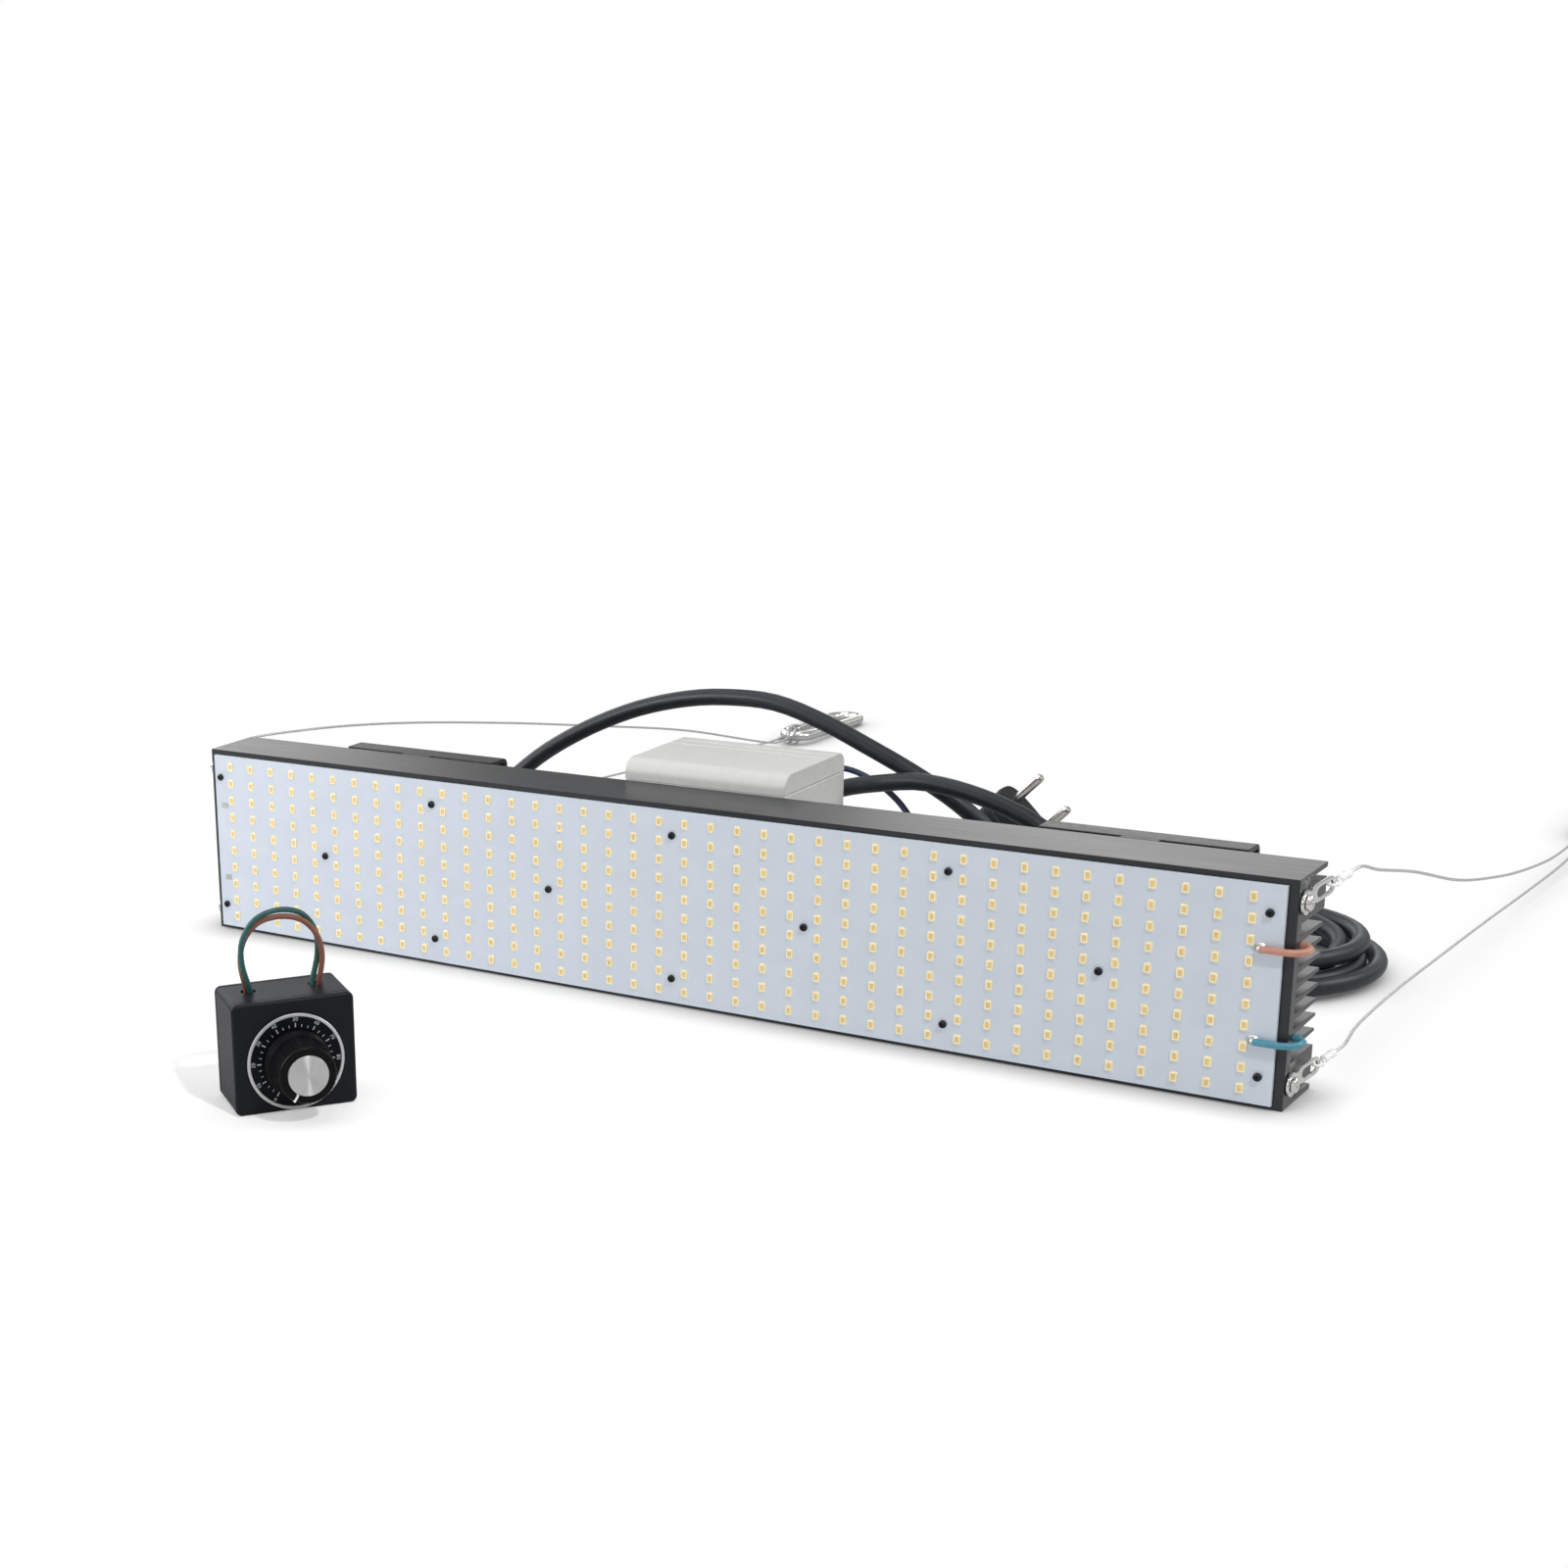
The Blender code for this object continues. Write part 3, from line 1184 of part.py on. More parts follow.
def make_dimmer_case(base, looks):
    rim = DIMMER_DEPTH - DIMMER_BACK_THICKNESS - SEAT_GAP
    bm = bmesh.new()
    shell = rounded_rectangle(DIMMER_WIDTH, 0, DIMMER_HEIGHT, DIMMER_ROUND)
    add_prism(bm, [shell], 0, rim, from_front())
    case = finish("dimmer_case", bm, looks["dimmer"], base)
    cut = bmesh.new()
    wall = DIMMER_WALL
    inside = rounded_rectangle(
        DIMMER_WIDTH - 2 * wall, wall, DIMMER_HEIGHT - wall, DIMMER_ROUND - wall / 2
    )
    add_prism(cut, [inside], wall, DIMMER_DEPTH, from_front())
    combine(case, helper("dimmer_cavity", cut, base), "DIFFERENCE")
    holes = bmesh.new()
    bush = BUSH_DIAMETER / 2 + SEAT_GAP
    add_rod(holes, (0, -wall, DIAL_CENTRE_Z), (0, 2 * wall, DIAL_CENTRE_Z), bush, 12)
    for side in (-1, 1):
        x = side * LEAD_HOLE_SPACING / 2
        low = (x, LEAD_HOLE_DEPTH_Y, DIMMER_HEIGHT - 2 * wall)
        high = (x, LEAD_HOLE_DEPTH_Y, DIMMER_HEIGHT + wall)
        add_rod(holes, low, high, LEAD_HOLE_DIAMETER / 2, 12)
    combine(case, helper("dimmer_holes", holes, base), "DIFFERENCE")


def make_dimmer_back(base, looks):
    front = DIMMER_DEPTH - DIMMER_BACK_THICKNESS
    bm = bmesh.new()
    plate = rounded_rectangle(DIMMER_WIDTH, 0, DIMMER_HEIGHT, DIMMER_ROUND)
    add_prism(bm, [plate], front, DIMMER_DEPTH, from_front())
    back = finish("dimmer_back", bm, looks["dimmer"], base)
    inset = DIMMER_WALL + SEAT_GAP
    lip = rounded_rectangle(
        DIMMER_WIDTH - 2 * inset, inset, DIMMER_HEIGHT - inset, DIMMER_ROUND - DIMMER_WALL / 2
    )
    bm = bmesh.new()
    add_prism(bm, [lip], front - DIMMER_LIP, front + DIMMER_BACK_THICKNESS / 2, from_front())
    combine(back, helper("dimmer_back_lip", bm, base), "UNION")


def outward(depth=0.0):
    """Heights run out of the dimmer's front, from the dial's centre."""
    return frame_of((0, depth, DIAL_CENTRE_Z), (0, -1, 0), (0, 0, 1))


def make_potentiometer(base, looks):
    """A fixed body and bush, bored for the knob's shaft."""
    start = -DIMMER_WALL - SEAT_GAP
    bore = SHAFT_DIAMETER / 2 + PIN_CLEARANCE
    tip = start + BUSH_LENGTH
    deep = tip - SHAFT_BITE - 2 * SEAT_GAP
    profile = [
        (0, start - POT_LENGTH),
        (POT_DIAMETER / 2, start - POT_LENGTH),
        (POT_DIAMETER / 2, start),
        (BUSH_DIAMETER / 2, start),
        (BUSH_DIAMETER / 2, tip),
        (bore, tip),
        (bore, deep),
        (0, deep),
    ]
    bm = bmesh.new()
    add_turned(bm, profile, 16, outward())
    finish("potentiometer", bm, looks["metal"], base, None, True)
    return tip


def make_dial(base, looks):
    bm = bmesh.new()
    rings = [circle((0, 0), DIAL_DIAMETER / 2, 28), circle((0, 0), BUSH_DIAMETER / 2 + SEAT_GAP, 12)]
    add_prism(bm, rings, SEAT_GAP, SEAT_GAP + DIAL_THICKNESS, outward())
    finish("dial_plate", bm, looks["dial"], base)
    return SEAT_GAP + DIAL_THICKNESS


def make_knob(base, dial_top, bush_tip, looks):
    """The knob turns with its shaft. Its origin is on the shaft's axis."""
    foot = max(dial_top, bush_tip) + SEAT_GAP
    top = foot + KNOB_HEIGHT
    recess = CAP_THICKNESS
    shaft = SHAFT_DIAMETER / 2
    profile = [
        (0, bush_tip - SHAFT_BITE),
        (shaft, bush_tip - SHAFT_BITE),
        (shaft, foot),
        (KNOB_SKIRT_DIAMETER / 2, foot),
        (KNOB_SKIRT_DIAMETER / 2, foot + KNOB_SKIRT_HEIGHT * 0.6),
        (KNOB_DIAMETER / 2, foot + KNOB_SKIRT_HEIGHT),
        (KNOB_TIP_DIAMETER / 2, top),
        (CAP_DIAMETER / 2 + SEAT_GAP, top),
        (CAP_DIAMETER / 2 + SEAT_GAP, top - recess),
        (0, top - recess),
    ]
    place = outward()
    bm = bmesh.new()
    add_turned(bm, profile, 20, Matrix.Identity(4))
    knob = finish("dimmer_knob", bm, looks["knob"], base, place, True)
    mark = bmesh.new()
    half = KNOB_POINTER_WIDTH / 2
    inner, outer = CAP_DIAMETER / 2 + 2 * SEAT_GAP, KNOB_TIP_DIAMETER / 2 - SEAT_GAP
    add_box(mark, (inner, -half, top - recess / 2), (outer, half, top + KNOB_POINTER_RISE))
    turn = place @ Matrix.Rotation(-KNOB_POINTER, 4, "Z")
    combine(knob, helper("knob_pointer", mark, base, turn), "UNION")
    bm = bmesh.new()
    low, high = top - recess + SEAT_GAP, top - recess + SEAT_GAP + CAP_THICKNESS
    edge = CAP_DIAMETER / 2
    cap = [(0, low), (edge, low), (edge, high - recess / 4), (edge - recess / 4, high), (0, high)]
    add_turned(bm, cap, 20, Matrix.Identity(4))
    finish("knob_cap", bm, looks["cap"], base, place, True)
    bpy.context.view_layer.update()
    spot = knob.matrix_world @ Vector((0, 0, foot))
    print("knob axis", list(knob.matrix_world.to_3x3() @ Vector((0, 0, -1))), "at", list(spot))


def lead_arch():
    """The middle line of the two dimmer wires, from inside one hole to inside the other."""
    foot = LEAD_HOLE_SPACING / 2
    bulge = foot + DIMMER_ARCH_BULGE
    half = [
        (foot, DIMMER_HEIGHT - 2 * DIMMER_WALL),
        (foot, DIMMER_HEIGHT),
        (bulge, DIMMER_HEIGHT + DIMMER_ARCH_RISE * 0.38),
        (bulge * 0.93, DIMMER_HEIGHT + DIMMER_ARCH_RISE * 0.68),
        (bulge * 0.58, DIMMER_HEIGHT + DIMMER_ARCH_RISE * 0.92),
    ]
    apex = (0, DIMMER_HEIGHT + DIMMER_ARCH_RISE)
    return [(-u, z) for u, z in half] + [apex] + [(u, z) for u, z in reversed(half)]


def make_dimmer_leads(base, looks):
    """Two wires in one arch, which change sides on the way down to each hole."""
    arch = lead_arch()
    belly = DIMMER_HEIGHT + DIMMER_ARCH_RISE * 0.38
    for name, side, look in (("green", 1, "green"), ("brown", -1, "brown")):
        shift = side * DIMMER_LEAD_SPACING / 2
        points = []
        for i, (u, z) in enumerate(arch):
            t = 2 * i / (len(arch) - 1) - 1
            turn = t * (LEAD_TWIST_LEFT if t < 0 else LEAD_TWIST_RIGHT)
            out = Vector((u, max(0, z - belly))).normalized() * shift * math.cos(turn)
            points.append((u + out.x, LEAD_HOLE_DEPTH_Y + shift * math.sin(turn), z + out.y))
        route = smooth_route(points, 3 * DIMMER_LEAD_DIAMETER)
        tube(f"dimmer_lead_{name}", route, DIMMER_LEAD_DIAMETER, looks[look], 2, None, base)


def make_dimmer(looks):
    base = dimmer_base()
    make_dimmer_case(base, looks)
    make_dimmer_back(base, looks)
    bush_tip = make_potentiometer(base, looks)
    dial_top = make_dial(base, looks)
    make_knob(base, dial_top, bush_tip, looks)
    make_dimmer_leads(base, looks)


def main():
    clear_scene()
    looks = make_materials()
    make_heat_sink(looks)
    make_led_board(looks)
    make_board_screws(looks)
    make_hangers(looks)
    make_bracket("left", LEFT_BRACKET_X, looks)
    make_bracket("right", RIGHT_BRACKET_X, looks)
    make_driver(looks)
    make_gland(looks)
    make_cable(looks)
    make_plug(looks)
    make_leads(looks)
    make_dimmer(looks)


main()
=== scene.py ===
# %% [markdown]
# An LED grow light stands on its lower flange on a pale floor. The solids of the light come in as a
# fixed frame, already in place and in metres. The panel runs along X, its LEDs face -Y and Z is up.
# This lesson models a finer piece over each solid that is seen from close by, and gives every piece a
# finish built from nodes.
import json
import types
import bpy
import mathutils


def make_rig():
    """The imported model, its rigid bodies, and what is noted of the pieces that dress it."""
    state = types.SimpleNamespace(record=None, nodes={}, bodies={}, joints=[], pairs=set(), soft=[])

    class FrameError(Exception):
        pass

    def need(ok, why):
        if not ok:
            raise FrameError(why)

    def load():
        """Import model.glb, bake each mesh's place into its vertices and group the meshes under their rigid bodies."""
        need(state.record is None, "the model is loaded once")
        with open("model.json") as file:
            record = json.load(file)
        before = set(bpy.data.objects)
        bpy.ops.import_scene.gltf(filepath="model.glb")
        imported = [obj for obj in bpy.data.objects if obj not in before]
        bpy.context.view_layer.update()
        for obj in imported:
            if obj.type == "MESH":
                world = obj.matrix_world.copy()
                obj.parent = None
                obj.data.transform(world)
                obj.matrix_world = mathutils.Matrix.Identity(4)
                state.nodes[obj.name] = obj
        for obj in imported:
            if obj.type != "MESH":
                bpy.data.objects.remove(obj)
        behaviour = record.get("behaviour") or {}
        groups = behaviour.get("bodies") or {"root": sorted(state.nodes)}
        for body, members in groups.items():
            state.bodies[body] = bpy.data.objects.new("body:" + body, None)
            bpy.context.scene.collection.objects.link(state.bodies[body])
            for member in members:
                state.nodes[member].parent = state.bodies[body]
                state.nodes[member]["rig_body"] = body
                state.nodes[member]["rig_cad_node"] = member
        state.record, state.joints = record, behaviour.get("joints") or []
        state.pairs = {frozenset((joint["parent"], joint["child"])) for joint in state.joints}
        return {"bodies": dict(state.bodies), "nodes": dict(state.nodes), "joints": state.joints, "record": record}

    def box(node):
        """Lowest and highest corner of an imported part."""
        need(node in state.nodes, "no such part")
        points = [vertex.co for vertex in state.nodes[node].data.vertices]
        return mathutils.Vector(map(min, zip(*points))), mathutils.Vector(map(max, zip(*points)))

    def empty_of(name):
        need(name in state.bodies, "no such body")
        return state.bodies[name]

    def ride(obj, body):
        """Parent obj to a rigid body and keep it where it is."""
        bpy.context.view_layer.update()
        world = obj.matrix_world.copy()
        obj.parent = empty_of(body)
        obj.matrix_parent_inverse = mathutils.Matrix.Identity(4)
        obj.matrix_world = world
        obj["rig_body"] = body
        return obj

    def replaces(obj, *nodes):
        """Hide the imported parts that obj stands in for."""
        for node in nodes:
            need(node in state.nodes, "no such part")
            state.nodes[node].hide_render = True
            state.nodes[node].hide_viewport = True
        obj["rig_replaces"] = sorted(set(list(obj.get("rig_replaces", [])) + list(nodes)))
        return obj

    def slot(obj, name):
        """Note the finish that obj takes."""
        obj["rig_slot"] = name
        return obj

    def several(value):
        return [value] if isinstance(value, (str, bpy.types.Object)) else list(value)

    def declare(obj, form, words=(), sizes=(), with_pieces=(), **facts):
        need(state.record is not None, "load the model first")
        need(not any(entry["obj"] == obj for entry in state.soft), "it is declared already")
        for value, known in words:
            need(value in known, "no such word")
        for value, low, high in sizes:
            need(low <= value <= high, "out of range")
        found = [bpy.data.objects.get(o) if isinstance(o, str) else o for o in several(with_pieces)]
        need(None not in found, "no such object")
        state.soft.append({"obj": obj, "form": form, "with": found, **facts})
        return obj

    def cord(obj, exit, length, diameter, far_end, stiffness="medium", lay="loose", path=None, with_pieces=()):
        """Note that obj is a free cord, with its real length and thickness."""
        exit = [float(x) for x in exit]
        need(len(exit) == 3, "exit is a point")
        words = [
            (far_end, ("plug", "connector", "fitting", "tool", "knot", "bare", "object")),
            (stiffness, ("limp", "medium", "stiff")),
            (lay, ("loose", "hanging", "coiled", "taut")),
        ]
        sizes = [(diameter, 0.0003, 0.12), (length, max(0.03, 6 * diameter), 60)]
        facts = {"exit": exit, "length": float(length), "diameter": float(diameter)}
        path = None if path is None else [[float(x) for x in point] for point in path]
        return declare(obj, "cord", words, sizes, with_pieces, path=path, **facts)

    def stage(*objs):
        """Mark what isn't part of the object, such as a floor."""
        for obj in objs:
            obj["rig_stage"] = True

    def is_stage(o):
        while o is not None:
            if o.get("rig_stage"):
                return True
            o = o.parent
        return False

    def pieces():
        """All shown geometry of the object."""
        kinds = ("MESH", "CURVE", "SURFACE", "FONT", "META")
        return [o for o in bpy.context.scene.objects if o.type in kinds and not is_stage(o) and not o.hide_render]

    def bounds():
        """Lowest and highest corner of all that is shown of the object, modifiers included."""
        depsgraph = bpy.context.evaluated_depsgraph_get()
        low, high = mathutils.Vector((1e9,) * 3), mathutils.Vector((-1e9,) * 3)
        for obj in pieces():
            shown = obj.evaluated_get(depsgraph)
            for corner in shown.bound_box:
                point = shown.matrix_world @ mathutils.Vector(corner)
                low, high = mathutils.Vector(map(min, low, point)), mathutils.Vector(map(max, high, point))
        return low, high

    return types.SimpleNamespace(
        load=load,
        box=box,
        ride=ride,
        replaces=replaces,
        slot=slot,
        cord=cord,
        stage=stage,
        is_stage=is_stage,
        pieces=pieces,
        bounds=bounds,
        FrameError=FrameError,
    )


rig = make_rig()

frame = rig.load()

import json
import math

import bmesh
import bpy
from mathutils import Matrix, Vector

cad_box = [list(corner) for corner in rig.bounds()]
print("frame:", len(frame["nodes"]), "nodes, box", cad_box)

# %% [markdown]
# The photograph was taken from the right front, a little above the panel, and then placed low on a
# square page. That off-centre placing is a lens shift, not a turn of the camera, so the camera keeps
# its true direction and only its shift moves the picture.

# %% Camera
camera_data = bpy.data.cameras.new("photo_camera")
camera_data.sensor_width = 36.0
camera_data.lens = 58.88
camera_data.shift_x = 0.359
camera_data.shift_y = 0.158
camera_data.clip_start = 0.01
camera = bpy.data.objects.new("photo_camera", camera_data)
bpy.context.scene.collection.objects.link(camera)
camera_right = Vector((0.7710, 0.6347, -0.0533)).normalized()
camera_up = Vector((-0.1609, 0.2750, 0.9479))
camera_back = camera_right.cross(camera_up).normalized()
camera_up = camera_back.cross(camera_right)
camera_turn = Matrix((camera_right, camera_up, camera_back)).transposed().to_4x4()
camera.matrix_world = Matrix.Translation((0.5177, -0.9165, 0.3380)) @ camera_turn
bpy.context.scene.camera = camera
bpy.context.scene.view_settings.view_transform = "Standard"
print("camera at", [round(v, 3) for v in camera.location])

# %% [markdown]
# The floor is one big sheet. Round the dimmer it is an ordinary matt surface with a small camera-only
# lift, so it takes the dimmer's shadow. Further out it turns into plain white, which gives the page its
# clean background and takes no cast shadow. Close under the edges of a piece that white is darkened by
# an occlusion term, a painted contact shade. The white shows to the camera and, fainter, in reflections
# of the floor behind the panel. Matt surfaces get no light from it. Two floors could do the same, but
# one shader that asks what kind of ray it meets leaves no seam.

# %% Floor


def shader_nodes(name):
    """A new material's nodes, links and output, with nothing else in it."""
    material = bpy.data.materials.new(name)
    material.use_nodes = True
    tree = material.node_tree
    tree.nodes.clear()
    output = tree.nodes.new("ShaderNodeOutputMaterial")
    return material, tree.nodes, tree.links, output


def by_ray(nodes, links, kind, otherwise, then):
    """One value for a kind of ray and another for all the rest."""
    path = nodes.new("ShaderNodeLightPath")
    choice = nodes.new("ShaderNodeMapRange")
    choice.inputs["To Min"].default_value = otherwise
    choice.inputs["To Max"].default_value = then
    links.new(path.outputs[f"Is {kind} Ray"], choice.inputs["Value"])
    return choice.outputs[0]


def floor_material():
    """Matt round the dimmer, white to the camera further out, with painted shade under the edges of a piece."""
    material, nodes, links, output = shader_nodes("studio_floor")
    matt = nodes.new("ShaderNodeBsdfDiffuse")
    links.new(by_ray(nodes, links, "Glossy", 0.85, 0.65), matt.inputs["Color"])
    lift = nodes.new("ShaderNodeEmission")
    lift.inputs["Color"].default_value = (0.12, 0.12, 0.12, 1.0)
    seen = by_ray(nodes, links, "Camera", 0.0, 1.0)
    links.new(seen, lift.inputs["Strength"])
    near = nodes.new("ShaderNodeAddShader")
    links.new(matt.outputs[0], near.inputs[0])
    links.new(lift.outputs[0], near.inputs[1])
    place = nodes.new("ShaderNodeTexCoord")
    axes = nodes.new("ShaderNodeSeparateXYZ")
    links.new(place.outputs["Object"], axes.inputs[0])
    behind = nodes.new("ShaderNodeMapRange")
    behind.inputs["From Max"].default_value = 0.25
    behind.inputs["To Max"].default_value = 0.50
    links.new(axes.outputs["Y"], behind.inputs["Value"])
    mirrored = nodes.new("ShaderNodeMath")
    mirrored.operation = "MULTIPLY"
    links.new(by_ray(nodes, links, "Glossy", 0.0, 1.0), mirrored.inputs[0])
    links.new(behind.outputs[0], mirrored.inputs[1])
    shown = nodes.new("ShaderNodeMath")
    shown.operation = "MAXIMUM"
    links.new(seen, shown.inputs[0])
    links.new(mirrored.outputs[0], shown.inputs[1])
    # Painted contact shade: the white's colour is darkened by an occlusion term close under the edges of a piece.
    painted_contact_shade = nodes.new("ShaderNodeAmbientOcclusion")
    painted_contact_shade.inputs["Distance"].default_value = 0.018
    painted_contact_shade.samples = 8
    white = nodes.new("ShaderNodeEmission")
    links.new(painted_contact_shade.outputs["Color"], white.inputs["Color"])
    links.new(shown.outputs[0], white.inputs["Strength"])
    far = nodes.new("ShaderNodeVectorMath")
    far.operation = "DISTANCE"
    far.inputs[1].default_value = (-0.09, -0.185, 0.0)
    links.new(place.outputs["Object"], far.inputs[0])
    fade = nodes.new("ShaderNodeMapRange")
    fade.interpolation_type = "SMOOTHSTEP"
    fade.inputs["From Min"].default_value = 0.08
    fade.inputs["From Max"].default_value = 0.24
    links.new(far.outputs["Value"], fade.inputs["Value"])
    page = nodes.new("ShaderNodeMath")
    page.operation = "MULTIPLY"
    links.new(fade.outputs[0], page.inputs[0])
    links.new(shown.outputs[0], page.inputs[1])
    both = nodes.new("ShaderNodeMixShader")
    links.new(page.outputs[0], both.inputs["Fac"])
    links.new(near.outputs[0], both.inputs[1])
    links.new(white.outputs[0], both.inputs[2])
    links.new(both.outputs[0], output.inputs["Surface"])
    return material


floor_mesh = bpy.data.meshes.new("studio_floor")
floor_bm = bmesh.new()
bmesh.ops.create_grid(floor_bm, x_segments=1, y_segments=1, size=30.0)
floor_bm.to_mesh(floor_mesh)
floor_bm.free()
floor = bpy.data.objects.new("studio_floor", floor_mesh)
floor_mesh.materials.append(floor_material())
bpy.context.scene.collection.objects.link(floor)
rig.stage(floor)
print("floor ready")

# %% [markdown]
# The world is white to the camera and dim where it lights matt surfaces. Reflections see a studio of dark
# and bright bands instead, because black and chrome pieces only look black and chrome when they have
# something dark to mirror. Two ramps give the bands, one by height and one from side to side, and a
# reflection shows their product. The brightest is a little over twice the page's white, and their places
# were chosen in the photograph's view.

# %% Background
world = bpy.data.worlds.new("studio_world")
bpy.context.scene.world = world
world.use_nodes = True
world_nodes, world_links = world.node_tree.nodes, world.node_tree.links
world_nodes.clear()
world_out = world_nodes.new("ShaderNodeOutputWorld")
sky = world_nodes.new("ShaderNodeBackground")
sky.inputs["Color"].default_value = (1.0, 1.0, 1.0, 1.0)
world_links.new(by_ray(world_nodes, world_links, "Camera", 0.24, 1.0), sky.inputs["Strength"])
mirrored = world_nodes.new("ShaderNodeBackground")
mirrored.inputs["Strength"].default_value = 2.8
way = world_nodes.new("ShaderNodeTexCoord")
axes = world_nodes.new("ShaderNodeSeparateXYZ")
world_links.new(way.outputs["Generated"], axes.inputs[0])


def grey_bands(axis, bands):
    """Grey bands along one axis of the direction that a reflection looks in, from -1 to 1."""
    spread = world_nodes.new("ShaderNodeMapRange")
    spread.inputs["From Min"].default_value = -1.0
    ramp = world_nodes.new("ShaderNodeValToRGB")
    ramp.color_ramp.elements.remove(ramp.color_ramp.elements[0])
    for at, grey in bands:
        ramp.color_ramp.elements.new((at + 1) / 2).color = (grey, grey, grey, 1.0)
    ramp.color_ramp.elements.remove(ramp.color_ramp.elements[-1])
    world_links.new(axes.outputs[axis], spread.inputs["Value"])
    world_links.new(spread.outputs[0], ramp.inputs["Fac"])
    return ramp.outputs["Color"]


walls = world_nodes.new("ShaderNodeVectorMath")
walls.operation = "MULTIPLY"
heights = grey_bands("Z", ((0.01, 0.06), (0.08, 0.08), (0.15, 0.8), (0.30, 0.8), (0.45, 0.45)))
sides = grey_bands("X", (
    (-0.62, 1.0), (-0.58, 0.62), (-0.55, 0.10), (-0.525, 0.06), (-0.506, 0.25), (-0.48, 0.10),
    (-0.445, 0.05), (-0.415, 0.80), (-0.35, 1.0), (-0.25, 0.70), (-0.1, 0.35),
))
world_links.new(heights, walls.inputs[0])
world_links.new(sides, walls.inputs[1])
world_links.new(walls.outputs[0], mirrored.inputs["Color"])
path = world_nodes.new("ShaderNodeLightPath")
either = world_nodes.new("ShaderNodeMixShader")
world_links.new(path.outputs["Is Glossy Ray"], either.inputs["Fac"])
world_links.new(sky.outputs[0], either.inputs[1])
world_links.new(mirrored.outputs[0], either.inputs[2])
world_links.new(either.outputs[0], world_out.inputs["Surface"])
print("background ready")

# %% [markdown]
# Product photographs like this one use soft boxes. A broad lamp hangs above and a little to the left. A
# second one stands close to the left end of the panel, so the board is brightest there. It casts no
# shadow, because the photograph shows none on that side. A small one shines down from the right, and
# draws the bright wedges on the dimmer's spun cap and the soft shadow to its left. A weak one behind the
# right end fills the shade on the driver and the cables.

# %% Lamps


def soft_box(name, place, target, size, watts):
    """A rectangular lamp that looks at a target."""
    lamp = bpy.data.lights.new(name, "AREA")
    lamp.shape = "RECTANGLE"
    lamp.size, lamp.size_y = size
    lamp.energy = watts
    obj = bpy.data.objects.new(name, lamp)
    bpy.context.scene.collection.objects.link(obj)
    look = Vector(target) - Vector(place)
    obj.matrix_world = Matrix.Translation(place) @ look.to_track_quat("-Z", "Y").to_matrix().to_4x4()
    return obj


soft_box("overhead_box", (-0.35, -0.10, 1.60), (0, 0.05, 0), (1.6, 1.2), 7.0)
left_box = soft_box("left_box", (-0.52, -0.50, 0.42), (-0.20, 0, 0.05), (0.40, 0.35), 3.0)
left_box.data.use_shadow = False
soft_box("right_box", (0.92, -0.55, 1.25), (-0.06, -0.20, 0.02), (0.08, 0.08), 9.0)
soft_box("back_box", (0.55, 0.30, 0.40), (0.03, 0.05, 0.08), (0.3, 0.3), 1.3)
print("lamps ready")

# %% [markdown]
# Almost every finish is built from the same few nodes: a noise on Object coordinates that shifts the
# colour and the roughness a little, and a bump from the same noise. Real plastics, anodising and
# paint are never one flat colour, and the noise is scaled to what each of them shows.

# %% Finish helper


def finish(name, colour, roughness, metallic=0.0, vary=0.12, scale=60.0, stretch=(1, 1, 1), bump=0.1,
           depth=0.0002, coat=0.0, shine=0.5):
    """A Principled finish whose colour, roughness and bump follow one noise."""
    material, nodes, links, output = shader_nodes(name)
    shader = nodes.new("ShaderNodeBsdfPrincipled")
    shader.inputs["Metallic"].default_value = metallic
    shader.inputs["Coat Weight"].default_value = coat
    shader.inputs["Specular IOR Level"].default_value = shine
    place = nodes.new("ShaderNodeTexCoord")
    mapping = nodes.new("ShaderNodeMapping")
    mapping.inputs["Scale"].default_value = stretch
    noise = nodes.new("ShaderNodeTexNoise")
    noise.inputs["Scale"].default_value = scale
    noise.inputs["Detail"].default_value = 4.0
    shades = nodes.new("ShaderNodeValToRGB")
    shades.color_ramp.elements[0].position = 0.3
    shades.color_ramp.elements[1].position = 0.7
    shades.color_ramp.elements[0].color = (*[v * (1 - vary) for v in colour], 1.0)
    shades.color_ramp.elements[1].color = (*[min(1.0, v * (1 + vary)) for v in colour], 1.0)
    rough = nodes.new("ShaderNodeMapRange")
    rough.inputs["To Min"].default_value = max(0.02, roughness - 0.08)
    rough.inputs["To Max"].default_value = min(1.0, roughness + 0.08)
    grain = nodes.new("ShaderNodeBump")
    grain.inputs["Strength"].default_value = bump
    grain.inputs["Distance"].default_value = depth
    links.new(place.outputs["Object"], mapping.inputs["Vector"])
    links.new(mapping.outputs[0], noise.inputs["Vector"])
    links.new(noise.outputs["Fac"], shades.inputs["Fac"])
    links.new(noise.outputs["Fac"], rough.inputs["Value"])
    links.new(noise.outputs["Fac"], grain.inputs["Height"])
    links.new(shades.outputs["Color"], shader.inputs["Base Color"])
    links.new(rough.outputs[0], shader.inputs["Roughness"])
    links.new(grain.outputs[0], shader.inputs["Normal"])
    links.new(shader.outputs[0], output.inputs["Surface"])
    return material


SLOTS = {part["node"]: part["material_slot"] for part in frame["record"]["subparts"]}


def stand_in(obj, nodes, body="light"):
    """Puts a piece on its body, in place of the solids that it stands for."""
    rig.ride(obj, body)
    if nodes:
        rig.replaces(obj, *nodes)
        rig.slot(obj, SLOTS[nodes[0]])
    return obj


print("slots:", len(set(SLOTS.values())))

# %% [markdown]
# The cords come first. A cord is one curve with a round section. Its route is a short list of points
# in metres, the same ones that the solid follows, and a smooth curve through them gives closely
# spaced points. Both ends stay straight, so that a cord leaves its sleeve squarely.

# %% Cord helpers


def arc(centre, radius, first, last, steps):
    """Points on part of a circle, angles in degrees."""
    angles = [math.radians(first + (last - first) * i / steps) for i in range(steps + 1)]
    return [(centre[0] + radius * math.cos(a), centre[1] + radius * math.sin(a)) for a in angles]


